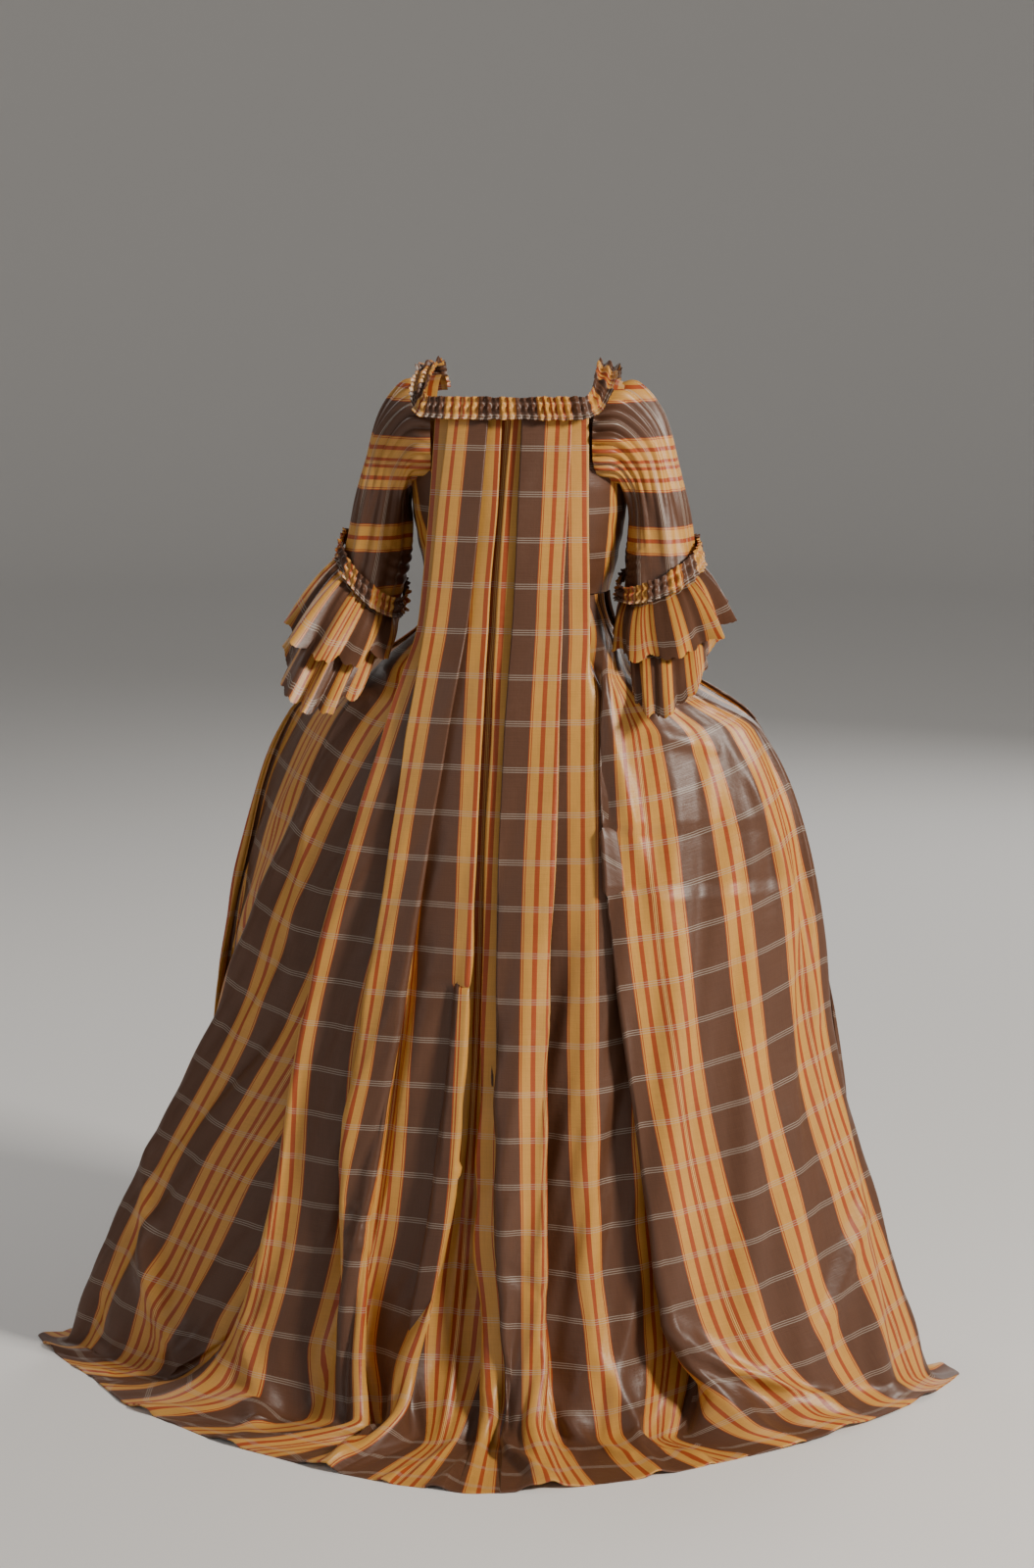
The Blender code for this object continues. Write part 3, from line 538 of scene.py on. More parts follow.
def sheet_labels(first, last):
    """The corners of one sheet, in order."""
    start = CHAIN.index(first.replace("slit", "seam"))
    end = CHAIN.index(last.replace("slit", "seam"))
    return CHAIN[start:end + 1]


def turn_nodes(first, last):
    """The points that a sheet's cross-section turns at, with their cloth places."""
    labels = sheet_labels(first, last)
    nodes, places, owners = [], [], []
    for at, label in enumerate(labels):
        end = {0: first, len(labels) - 1: last}.get(at, label)
        point = place_of[end]
        way = turn_way(label) * half_turn[:, None]
        towards = [labels[at - 1]] if at else []
        towards += [labels[at + 1]] if at + 1 < len(labels) else []
        cloth = [cloth_of(label, facing) for facing in towards]
        if label.endswith("front_edge"):
            spots = [point]
        elif at == 0:
            spots, cloth = [point, point + way], [cloth[0], cloth[0] + half_turn]
        elif at == len(labels) - 1:
            spots, cloth = [point - way, point], [cloth[0] - half_turn, cloth[0]]
        else:
            spots = [point - way, point + way]
            cloth = [cloth[0] - half_turn, cloth[1] + half_turn]
        nodes += spots
        places += cloth
        owners += [label] * len(spots)
    return nodes, places, owners


print(len(CHAIN), "corners from one front edge round to the other")

# %% [markdown]
# ## Sheets
#
# Between two turning points the cloth runs straight or follows the outline, and at each
# of them it is rounded with a quadratic curve.  Columns are spaced by the widest place
# of each face, so that they stay columns from the waist to the hem.

# %% Sheets
COLUMN_STEP = 0.0075
FACE_COLUMNS, TURN_COLUMNS = 5, 3       # the fewest columns on a face and across a turn
LARGEST_ROUND = 0.45        # a round takes at most this share of the faces beside it
ROUND_STEPS = (0.25, 0.50, 0.75)        # where the points inside a round lie
HIDDEN_CALM = 0.25          # share of the rolls that a hidden layer of cloth keeps
CALM_BLEND = 9              # columns that the change is spread over


def under_fold(first, second):
    """Whether a face runs from a hidden fold back to the edge that lies over it."""
    pair = {first, second}
    return any({name, entry[2]} <= pair for name, entry in all_tucks.items())


def bent(points, follow):
    """Adds what the outline bulges beyond the chord between the first and last point."""
    edge = on_outline(points)
    share = np.linspace(0, 1, points.shape[1])[None, :, None]
    chord = edge[:, :1] + (edge[:, -1:] - edge[:, :1]) * share
    points = points.copy()
    points[..., :2] += follow * (edge - chord)
    return points


def smoothing(width):
    """Raised-cosine weights over a number of places, which add up to one."""
    kernel = np.hanning(width + 2)[1:-1]
    return kernel / kernel.sum()


def sheet_grid(first, last):
    """Grid of points (level, across), their cloth places and each column's calm."""
    nodes, places, owners = turn_nodes(first, last)
    lengths = [np.linalg.norm(b - a, axis=-1) for a, b in zip(nodes[:-1], nodes[1:])]
    radii = [np.zeros(len(fine))]
    radii += [np.minimum(rounding, LARGEST_ROUND * np.minimum(a, b))
              for a, b in zip(lengths[:-1], lengths[1:])]
    radii.append(np.zeros(len(fine)))
    runs, cloths, calms = [], [], []
    for k, length in enumerate(lengths):
        face = owners[k] != owners[k + 1]
        wanted = max(FACE_COLUMNS, round(float(length.max()) / COLUMN_STEP))
        count = wanted if face else TURN_COLUMNS
        low = radii[k] / np.maximum(length, 1e-9)
        high = 1 - radii[k + 1] / np.maximum(length, 1e-9)
        share = low[:, None] + (high - low)[:, None] * np.linspace(0, 1, count)
        run = nodes[k][:, None] + (nodes[k + 1] - nodes[k])[:, None] * share[..., None]
        follow = FOLLOW.get((owners[k], owners[k + 1]), 0.0)
        runs.append(bent(run, follow) if follow else run)
        cloths.append(places[k][:, None] + (places[k + 1] - places[k])[:, None] * share)
        calms.append(HIDDEN_CALM if face and under_fold(owners[k], owners[k + 1]) else 1.0)
    columns, across, calm = [runs[0]], [cloths[0]], [calms[0]] * runs[0].shape[1]
    for k in range(1, len(runs)):
        before_turn, after_turn = columns[-1][:, -1], runs[k][:, 0]
        start, end = across[-1][:, -1], cloths[k][:, 0]
        for t in ROUND_STEPS:
            weights = (1 - t) ** 2, 2 * t * (1 - t), t * t
            point = weights[0] * before_turn + weights[1] * nodes[k] + weights[2] * after_turn
            columns.append(point[:, None])
            across.append((start + (end - start) * t)[:, None])
        columns.append(runs[k])
        across.append(cloths[k])
        calm += [calms[k - 1]] + [calms[k]] * (runs[k].shape[1] + 2)
    calm = np.pad(calm, CALM_BLEND // 2, mode="edge")
    calm = np.convolve(calm, smoothing(CALM_BLEND), mode="valid")
    return np.concatenate(columns, axis=1), np.concatenate(across, axis=1), calm


grids = {name: sheet_grid(*ends) for name, ends in SHEETS.items()}
for name, (grid, *_) in grids.items():
    print(name, grid.shape[:2])

# %% [markdown]
# ## Length down the cloth
#
# The fine pale weft lines cross the silk at equal spacing, so the second cloth
# coordinate is the length travelled down it.  It is averaged across each panel, which
# keeps the lines level in the cloth however the folds lie.

# %% Down the cloth
NECK_START = 0.018          # a weft line's distance from the neck edge
LEVEL_COLUMNS = 41          # the length is averaged over this many columns


def down_the_cloth(grid):
    """Running sum of the steps down each column, smoothed across the columns."""
    steps = np.linalg.norm(np.diff(grid, axis=0), axis=-1)
    beside = LEVEL_COLUMNS // 2
    padded = np.pad(steps, ((0, 0), (beside, beside)), mode="edge")
    kernel = smoothing(LEVEL_COLUMNS)
    levelled = np.apply_along_axis(np.convolve, 1, padded, kernel, mode="valid")
    return np.insert(np.cumsum(levelled, axis=0), 0, 0, axis=0)


fine_waist = int(np.searchsorted(fine, level_at[WAIST] - 1e-9))
surfaces = {}
for name, (grid, across, _) in grids.items():
    if not name.startswith("back"):
        grid, across = grid[fine_waist:], across[fine_waist:]
    start = NECK_START + (0 if name.startswith("back") else level_at[WAIST])
    surfaces[name] = [grid, across, down_the_cloth(grid) + start]
print("back is", round(float(surfaces["back_left"][2].max()), 2), "m long")

# %% [markdown]
# ## Creases
#
# Taffeta is crisp: it lies in long soft rolls with a few sharp kinks.  The rolls are
# sums of cosines over the cloth with their phases from a seeded generator, stronger
# low down, where nothing presses the cloth.  The kinks are placed one by one, each as a
# soft ridge along a short line on the cloth.

# %% Rolls and kinks
# across and down the cloth, one wave's length in metres, its lean and its height
ROLLS = ((0.150, 0.90, 0.10, 0.0042), (0.085, 0.60, -0.15, 0.0030),
         (0.060, 0.33, 0.30, 0.0018), (0.110, 0.21, -0.45, 0.0017),
         (0.045, 0.16, 0.55, 0.0010), (0.028, 0.12, -0.60, 0.0006))
LEAN_WAVE = 5.1             # how fast a roll's lean comes and goes, radians a metre
PRESSED_SHARE = 0.10        # how much of the rolls is left where the pleats are pressed
LOOSE_FROM, LOOSE_OVER = 0.30, 0.75     # down the cloth, where the pleats let go
NEAR_FLOOR = 0.03           # cloth this low isn't pushed down into the floor
EDGE_REST = 0.012           # the cloth lies still this near a seam
KINK_START, KINK_SPAN = 0.15, 0.70      # part of a half wave that a kink's height follows
# for each sheet: start (repeats, metres), end (repeats, metres), half-width, height
KINKS = {
    "back_left": (
        (1.95, 1.30, 2.35, 1.46, 0.012, 0.010), (2.60, 1.10, 2.92, 1.13, 0.006, -0.005),
        (2.62, 1.14, 2.95, 1.16, 0.006, 0.004), (3.38, 1.02, 3.60, 1.05, 0.006, -0.006),
        (2.10, 1.40, 2.62, 1.53, 0.014, 0.013), (3.10, 1.36, 3.60, 1.53, 0.013, 0.012),
        (3.62, 1.30, 3.90, 1.50, 0.010, -0.006),
    ),
    "back_right": (
        (4.50, 1.34, 4.96, 1.53, 0.013, 0.012), (4.70, 0.86, 5.00, 0.83, 0.005, -0.003),
        (4.66, 1.16, 5.00, 1.20, 0.008, -0.004), (5.10, 1.32, 5.50, 1.46, 0.013, 0.011),
        (5.52, 1.30, 5.95, 1.52, 0.014, 0.012),
    ),
    "side_left": (
        (0.60, 1.30, 1.60, 1.56, 0.020, 0.016), (0.40, 1.46, 1.20, 1.57, 0.012, -0.008),
        (0.20, 1.20, 1.05, 1.44, 0.014, 0.008), (0.35, 0.62, 0.80, 0.92, 0.013, 0.006),
        (-0.60, 0.80, -0.30, 1.20, 0.013, 0.006),
    ),
    "side_right": (
        (6.75, 0.46, 7.05, 0.80, 0.012, 0.007), (7.00, 0.52, 7.60, 0.58, 0.010, 0.006),
        (6.60, 1.32, 7.20, 1.52, 0.016, 0.013), (7.40, 1.42, 8.00, 1.28, 0.014, 0.011),
        (6.68, 0.52, 6.78, 0.66, 0.006, -0.005), (7.75, 0.60, 8.10, 1.00, 0.012, 0.006),
        (8.70, 0.80, 9.05, 1.15, 0.012, 0.006),
    ),
    "front_skirt_left": (
        (-3.10, 0.70, -2.75, 1.10, 0.012, 0.006),
    ),
    "front_skirt_right": (
        (11.50, 0.70, 11.20, 1.10, 0.012, 0.006),
    ),
}


def rolled(across, down, seed):
    """Sum over the table of height times cos(2 pi (across / a + down / d) + phase)."""
    phases = np.random.default_rng(seed).uniform(0, 2 * np.pi, len(ROLLS))
    total = np.zeros_like(across)
    for (wide, long, lean, height), phase in zip(ROLLS, phases):
        slide = across / wide + down / long + lean * np.sin(down * LEAN_WAVE + phase)
        total += height * np.cos(2 * np.pi * slide + phase)
    return total


def kinked(across, down, name):
    """Height times exp(-distance squared): a ridge round a line on the cloth."""
    total = np.zeros_like(across)
    for *ends, width, height in KINKS[name]:
        start, end = np.reshape(ends, (2, 2)) * (REPEAT, 1)
        line = end - start
        x, y = across - start[0], down - start[1]
        share = (x * line[0] + y * line[1]) / (line @ line)
        reach = np.clip(share, 0, 1)
        gap = np.hypot(x - reach * line[0], y - reach * line[1])
        swell = np.sin(np.pi * (KINK_START + KINK_SPAN * reach))
        total += height * np.exp(-(gap / width) ** 2) * swell
    return total


def outward(grid, wraps=False):
    """Unit normals: down the cloth crossed with across it, one-sided at free edges."""
    down = np.gradient(grid, axis=0)
    if wraps:
        across = np.roll(grid, -1, axis=1) - np.roll(grid, 1, axis=1)
    else:
        across = np.gradient(grid, axis=1)
    return unit(np.cross(down, across))


print(len(ROLLS), "rolls and", sum(map(len, KINKS.values())), "kinks")

# %% [markdown]
# ## Creases on the cloth
#
# The creases move the cloth along its own normal.  They die away at the seams, so that
# neighbouring sheets still meet, and never push the cloth into the floor.

# %% Move the cloth
for seed, (name, surface) in enumerate(surfaces.items()):
    grid, across, down = surface
    loose = smooth_step((down - LOOSE_FROM) / LOOSE_OVER)
    strength = PRESSED_SHARE + (1 - PRESSED_SHARE) * loose
    from_left = running_length(grid, axis=1)
    from_right = from_left[:, -1:] - from_left
    rest = smooth_step(np.minimum(from_left, from_right) / EDGE_REST)
    raised = rolled(across, down, seed) * strength + kinked(across, down, name)
    raised = raised * rest * grids[name][2]
    near_floor = smooth_step(grid[..., 2] / NEAR_FLOOR)
    raised = np.where(raised < 0, raised * near_floor, raised)
    surface[0] = grid + outward(grid) * raised[..., None]
    surface[0][..., 2] = np.maximum(surface[0][..., 2], FLOOR_LIFT)
    print(name, "moved up to", round(float(np.abs(raised).max()) * 1000, 1), "mm")

# %% [markdown]
# ## A narrow turned hem
#
# The hem is turned under, so its edge is a small round and not a raw line.  Three
# more levels carry the cloth round a half circle and a fourth brings it back.

# %% Hem
HEM_ROUND, HEM_BACK, HEM_LIFT = 0.0014, 0.010, 0.0002
HEM_ANGLES = (60, 120, 180)
HEM_SHARES = (0.33, 0.67, 1.0, 1.0)     # of the half circle, travelled at each new level


def hemmed(grid, across, down):
    """Edge + out * r sin(a) - normal * r (1 - cos(a)), then a strip straight back."""
    out = unit(grid[-1] - grid[-2])
    normal = outward(grid)[-1]
    new = [grid[-1] + out * HEM_ROUND * np.sin(a) - normal * HEM_ROUND * (1 - np.cos(a))
           for a in np.radians(HEM_ANGLES)]
    new.append(new[-1] - out * HEM_BACK)
    lengths = np.array(HEM_SHARES) * np.pi * HEM_ROUND
    lengths[-1] += HEM_BACK
    extra = np.array(new)
    extra[..., 2] = np.maximum(extra[..., 2], HEM_LIFT)
    same_places = across[-1:].repeat(len(new), 0)
    return (np.concatenate([grid, extra]), np.concatenate([across, same_places]),
            np.concatenate([down, down[-1] + lengths[:, None]]))


for name in surfaces:
    surfaces[name] = hemmed(*surfaces[name])
print("hem turned", HEM_ROUND * 2000, "mm thick")

# %% [markdown]
# ## Putting a grid into a mesh
#
# One function takes every grid of points and its two cloth coordinates.  It joins
# neighbouring points into four-sided faces and keeps the coordinates, in metres, as
# the UV map that the silk's pattern is drawn on.

# %% Mesh from a grid
def placed(name, data):
    """A new object that holds this data, put in the scene."""
    thing = bpy.data.objects.new(name, data)
    bpy.context.scene.collection.objects.link(thing)
    return thing


def quads_of(rows, columns):
    """Four point numbers for each face between neighbouring rows and columns."""
    index = np.arange(rows * columns).reshape(rows, columns)
    corners = index[:-1, :-1], index[1:, :-1], index[1:, 1:], index[:-1, 1:]
    return np.stack(corners, -1).reshape(-1, 4)


def cloth_mesh(name, grid, across, down, wraps=False):
    """Faces between neighbours (row, column); a wrapped grid joins its last column to
    its first."""
    if wraps:
        grid = np.concatenate([grid, grid[:, :1]], axis=1)
    quads = quads_of(*grid.shape[:2])
    points = grid.reshape(-1, 3) - np.array([0, 0, SHOULDER_HEIGHT])
    coords = np.stack([across.ravel(), down.ravel()], -1)
    mesh = bpy.data.meshes.new(name)
    if wraps:
        merged = np.arange(len(points)).reshape(grid.shape[:2])
        merged[:, -1] = merged[:, 0]
        kept, inverse = np.unique(merged.ravel(), return_inverse=True)
        mesh.from_pydata(points[kept].tolist(), [], inverse[quads].tolist())
    else:
        mesh.from_pydata(points.tolist(), [], quads.tolist())
    layer = mesh.uv_layers.new(name="cloth")
    layer.data.foreach_set("uv", coords[quads.ravel()].ravel())
    mesh.polygons.foreach_set("use_smooth", np.ones(len(quads), bool))
    mesh.update()
    piece = placed(f"silk_{name}", mesh)
    a, b, c, d = points[quads.T]
    area = 0.5 * np.linalg.norm(np.cross(c - a, d - b), axis=-1).sum()
    print(name, len(quads) * 2, "triangles,", round(float(area), 3), "m2")
    return piece


pieces = {name: cloth_mesh(name, *surface) for name, surface in surfaces.items()}

# %% [markdown]
# ## Bodice
#
# Under the sack the bodice fits the body: two side pieces and two fronts on the
# body's oval, whose top edges make the neck and the armhole.  A point is found from
# its angle round the body and its height.

# %% Bodice pieces
TORSO = np.array(((1.105, 0.124, 0.097), (1.150, 0.136, 0.106), (1.240, 0.150, 0.115),
                  (1.330, 0.153, 0.100), (1.380, 0.150, 0.078)))
BODICE_FOOT = 1.1062
SIDE_ANGLES = (40, 48, 56, 66, 78, 90, 99.9)
SIDE_TOP = (1.352, 1.358, 1.350, 1.292, 1.246, 1.238, 1.243)
FRONT_ANGLES = (100.1, 110, 118, 126, 134, 142, 150, 157)
FRONT_TOP = (1.243, 1.262, 1.320, 1.368, 1.366, 1.318, 1.272, 1.248)
# angles, heights of the top edge, place across the silk in repeats
BODICE = {"side": (SIDE_ANGLES, SIDE_TOP, 0.15), "front": (FRONT_ANGLES, FRONT_TOP, 0.55)}
BODICE_ROWS, BODICE_COLUMNS = 40, 44
CREASE = 0.0007             # height of the bodice's fine creases
CREASE_DOWN, CREASE_LEAN, CREASE_ACROSS = 160, 40, 60   # their waves, radians a metre


def torso(angle, height, out=0.0):
    """Half-width times sine and half-depth times cosine of the angle, at a height."""
    wide = through(TORSO[:, 0], TORSO[:, 1], np.ravel(height)).reshape(np.shape(height))
    deep = through(TORSO[:, 0], TORSO[:, 2], np.ravel(height)).reshape(np.shape(height))
    turn = np.radians(angle)
    x, y = (wide + out) * np.sin(turn), -(deep + out) * np.cos(turn)
    return np.stack([x, y, height + 0 * turn], -1)


def bodice(name, side, angles, tops, cloth_start):
    """Rows from the top edge down to the waist, columns round the body."""
    wanted = np.linspace(angles[0], angles[-1], BODICE_COLUMNS)
    edge = through(np.array(angles, float), tops, wanted)
    share = np.linspace(0, 1, BODICE_ROWS)[:, None]
    heights = edge + (BODICE_FOOT - edge) * share
    grid = torso(wanted + 0 * heights, heights) * np.array([side, 1, 1])
    if side < 0:
        grid = grid[:, ::-1]
    across = running_length(grid, axis=1)
    down = SHOULDER_HEIGHT - grid[..., 2]
    raised = CREASE * np.cos(grid[..., 2] * CREASE_DOWN + across * CREASE_LEAN)
    raised = raised * np.sin(across * CREASE_ACROSS)
    grid = grid + outward(grid) * raised[..., None]
    return cloth_mesh(name, grid, across + cloth_start * REPEAT, down)


for side_name, side in SIDES:
    for part, shape in BODICE.items():
        name = f"bodice_{part}_{side_name}"
        pieces[name] = bodice(name, side, *shape)

# %% [markdown]
# ## Shoulder straps
#
# The sack's outer pleats run up over each shoulder as a narrow strap.  It is a curved
# strip: a short line of places from back to front, widened across the shoulder.

# %% Straps
# depth and height, from the back over the shoulder to the front
STRAP_LINE = ((-0.066, 1.364), (-0.038, 1.391), (-0.008, 1.401), (0.022, 1.396),
              (0.046, 1.377))
STRAP_IN, STRAP_OUT, STRAP_DROP = 0.106, 0.147, 0.010
STRAP_ROWS, STRAP_COLUMNS = 30, 16
STRAP_CLOTH = 0.06          # place across the silk, from the body's middle


def evenly(points, count):
    """A smooth line through points, spaced evenly along its length."""
    points = np.asarray(points, float)
    travelled = running_length(points)
    return through(travelled, points, np.linspace(0, travelled[-1], count))


for side_name, side in SIDES:
    line = evenly(STRAP_LINE, STRAP_ROWS)
    x = np.linspace(STRAP_IN, STRAP_OUT, STRAP_COLUMNS)
    fall = STRAP_DROP * ((x - STRAP_IN) / (STRAP_OUT - STRAP_IN)) ** 2
    grid = np.stack([side * x + 0 * line[:, :1], line[:, :1] + 0 * x, line[:, 1:] - fall], -1)
    if side < 0:
        grid = grid[:, ::-1]
    grid = grid[::-1]
    name = f"shoulder_strap_{side_name}"
    pieces[name] = cloth_mesh(name, grid, x + 0 * line[:, :1] + STRAP_CLOTH,
                              line[:, :1] + 0 * x)

# %% [markdown]
# ## Sleeves
#
# A sleeve is a tube through five tilted ovals.  Its cloth is turned, so the stripes go
# round the arm.  At the top it is gathered into the armhole: the gathers are waves
# round the arm that die away down the sleeve, and below them a few broad folds and
# the creases inside the elbow carry on.

# %% Sleeve tubes
# five ovals from the armhole to the elbow: centre, half-axis outwards, half-axis to the rear
SLEEVES = {
    "right": (((0.150, 0.000, 1.318), (0.000, 0, 0.066), (0, -0.050, 0.000)),
              ((0.172, -0.005, 1.290), (0.017, 0, 0.060), (0, -0.051, -0.004)),
              ((0.184, -0.012, 1.240), (0.031, 0, 0.046), (0, -0.050, -0.008)),
              ((0.192, -0.022, 1.186), (0.042, 0, 0.032), (0, -0.049, -0.014)),
              ((0.198, -0.035, 1.127), (0.048, 0, 0.017), (0, -0.049, -0.018))),
    "left": (((-0.150, 0.000, 1.318), (0.000, 0, 0.066), (0, -0.050, 0.000)),
             ((-0.170, -0.005, 1.288), (-0.016, 0, 0.060), (0, -0.051, -0.004)),
             ((-0.181, -0.012, 1.238), (-0.030, 0, 0.046), (0, -0.050, -0.008)),
             ((-0.191, -0.022, 1.180), (-0.038, 0, 0.036), (0, -0.049, -0.014)),
             ((-0.203, -0.035, 1.119), (-0.037, 0, 0.034), (0, -0.049, -0.018))),
}
SLEEVE_LEVELS, SLEEVE_COLUMNS = 70, 240
CAP_GATHERS, GATHER_HEIGHT, GATHER_LENGTH = 26, 0.0072, 0.060
SLEEVE_FULL = 0.0060        # the gathered cap stands this far over the frame's ovals
CAP_INSET = 0.018           # the cap's seam lies this far in from the frame's first oval
CAP_BACK = (-0.022, -0.044) # the cap's rear reaches in under the sack by this much
CAP_BACK_LENGTH = 0.055
BAND_START = -0.118         # the middle of the first wide band below the sleeve's top
BAND_DROP = 1.06            # cloth down the sleeve over the height it covers
CAP_TOP = 25.0              # the fullest gathers stand this far round from straight out
VALLEY = 1.2                # how far the narrow valleys reach below the seam's line
LEAST_GATHER, LEAST_FULL = 0.35, 0.3    # share of the gathers left under the arm
FULL_FROM, FULL_LENGTH, FOLDS_FROM = 0.03, 0.13, 0.05
# broad folds: number round the arm, height, slant in radians a metre
BROAD_FOLDS = ((5, 0.0022, 9.0), (8, 0.0014, -16.0), (13, 0.0008, 25.0))
ELBOW_DOWN, ELBOW_LENGTH, ELBOW_PITCH, ELBOW_HEIGHT = 0.215, 0.030, 0.017, 0.0022
SEAM_REST, SEAM_SHARE = 0.006, 0.3      # at the seam only this share of a fold is left
SLEEVE_CLOTH = 0.46         # cloth round the arm


def ring(centre, outer, rear, turns):
    """Centre plus cosine times one half-axis plus sine times the other."""
    centre, outer, rear = (np.asarray(part)[..., None, :] for part in (centre, outer, rear))
    return centre + np.cos(turns)[:, None] * outer + np.sin(turns)[:, None] * rear


def tube(side_name, turns):
    """The sleeve's ovals carried smoothly along it, with the length down its outer side."""
    ovals = np.array(SLEEVES[side_name])
    cap = ovals[:1].copy()
    cap[0, 0, 0] -= np.sign(cap[0, 0, 0]) * CAP_INSET
    ovals = np.concatenate([cap, ovals])
    outside = ovals[:, 0] + ovals[:, 1]
    at = running_length(outside)
    wanted = np.linspace(0, at[-1], SLEEVE_LEVELS)
    smooth = through(at, ovals, wanted)
    return ring(smooth[:, 0], smooth[:, 1], smooth[:, 2], turns), wanted


for seed, (side_name, side) in enumerate(SIDES):
    turns = np.arange(SLEEVE_COLUMNS) * 2 * np.pi / SLEEVE_COLUMNS * -side
    grid, length = tube(side_name, turns)
    along = length[:, None]
    rear = smooth_step(np.sin(turns)) * np.exp(-(along / CAP_BACK_LENGTH) ** 2)
    grid = grid + rear[..., None] * np.array([side * CAP_BACK[0], CAP_BACK[1], 0])
    random = np.random.default_rng(30 + seed)
    uneven = 0.9 * np.sin(turns * 2 + 1 + seed) + 0.5 * np.sin(turns * 5 + 2)
    gathers = np.abs(np.cos(turns * CAP_GATHERS / 2 + uneven)) * 2 - VALLEY
    top_share = smooth_step(0.5 + 0.6 * np.cos(turns - np.radians(CAP_TOP * side)))
    fade = np.exp(-along / GATHER_LENGTH) * (LEAST_GATHER + top_share)
    raised = GATHER_HEIGHT * gathers * fade
    full = smooth_step(along / FULL_FROM) * np.exp(-(along / FULL_LENGTH) ** 2)
    raised = raised + SLEEVE_FULL * full * (LEAST_FULL + top_share)
    broad = np.zeros_like(raised)
    for count, height, slant in BROAD_FOLDS:
        phase = random.uniform(0, 2 * np.pi)
        broad += height * np.cos(count * turns + slant * along + phase)
    raised = raised + broad * smooth_step(along / FOLDS_FROM)
    elbow = np.exp(-((along - ELBOW_DOWN) / ELBOW_LENGTH) ** 2) * smooth_step(-np.cos(turns))
    creases = np.cos(2 * np.pi * along / ELBOW_PITCH + 0.8 * np.sin(turns))
    raised = raised + ELBOW_HEIGHT * elbow * creases
    normal = outward(grid, wraps=True)
    centre = grid.mean(axis=1, keepdims=True)
    normal *= np.sign(((grid - centre) * normal).sum(-1, keepdims=True).mean())
    fixed = smooth_step(along / SEAM_REST) * (1 - SEAM_SHARE) + SEAM_SHARE
    grid = grid + normal * (raised * fixed)[..., None]
    round_arm = np.arange(SLEEVE_COLUMNS + 1) / SLEEVE_COLUMNS * SLEEVE_CLOTH
    name = f"sleeve_{side_name}"
    closed = np.concatenate([grid, grid[:, :1]], axis=1)
    fallen = (closed[..., 2].max() - closed[..., 2]) * BAND_DROP
    pieces[name] = cloth_mesh(name, grid, fallen + BAND_START,
                              round_arm + 0 * along, wraps=True)

# %% [markdown]
# ## Gathered bands
#
# The neck, the fronts and the cuffs are edged with a ruche: a strip of the same silk
# drawn up on two threads, with pinked edges.  It is a surface between two lines: it
# waves in and out along its length, puffs up between the threads, and its edges are
# cut into small teeth.

# %% Ruches
NECK_OUTER = ((-0.132, 0.062, 1.382), (-0.134, 0.030, 1.406), (-0.135, -0.010, 1.410),
              (-0.137, -0.052, 1.392), (-0.134, -0.094, 1.362), (-0.116, -0.1085, 1.350),
              (-0.060, -0.1115, 1.349), (0.000, -0.1120, 1.349), (0.060, -0.1115, 1.349),
              (0.104, -0.1095, 1.350), (0.124, -0.096, 1.362), (0.134, -0.052, 1.392),
              (0.135, -0.010, 1.410), (0.134, 0.030, 1.406), (0.132, 0.062, 1.382))
NECK_INNER = ((-0.108, 0.068, 1.378), (-0.110, 0.032, 1.410), (-0.111, -0.008, 1.416),
              (-0.113, -0.048, 1.404), (-0.118, -0.084, 1.384), (-0.110, -0.1035, 1.376),
              (-0.060, -0.1085, 1.375), (0.000, -0.1100, 1.375), (0.060, -0.1085, 1.375),
              (0.098, -0.1045, 1.376), (0.108, -0.086, 1.384), (0.110, -0.048, 1.404),
              (0.111, -0.008, 1.416), (0.110, 0.032, 1.410), (0.108, 0.068, 1.378))
ROBING_ANGLES = (131, 141, 150, 150.5, 151)
ROBING_HEIGHTS = (1.362, 1.305, 1.250, 1.180, 1.108)
FRONT_WIDTH, TRIM_LIFT = 7.0, 0.0068    # half its width in degrees, and above the bodice
GATHER_PITCH = 0.0105       # one gather of a ruche
TOOTH = 0.0042              # one tooth of the pinked edge
FULLNESS = 1.7              # cloth in a ruche over its finished length
RUCHE_ACROSS, LEAST_GATHERS = 15, 8
RUCHE_OVER = 0.06           # the strip reaches this far past its two edge lines
RUCHE_CLOTH = 0.024         # cloth across a ruche
THREADS, THREAD_REACH, HELD = (0.22, 0.78), 0.25, 0.15  # where and how tightly it is held
DRIFT_WAVES, DRIFT_SIZES = (3, 5, 8), (0.3, 0.9)    # slow waves that shift the gathers
GATHER_LEAN = 0.5           # how far a gather slants, in radians of its wave
TOOTH_CUT = 0.0011
GATHER_SIZES, MEAN_SIZE = (0.35, 1.45), 0.9     # of one gather against another
NECK_POINTS, ROBING_POINTS = 760, 300
NECK_CENTRE = (0, 0, 1.30)  # the neck ruche faces away from here
PUFF, WAVE = 0.0044, 0.0034 # how far a ruche stands off, and how far its gathers wave
UNEVEN_EDGE = 0.0022        # its edges come and go by this much


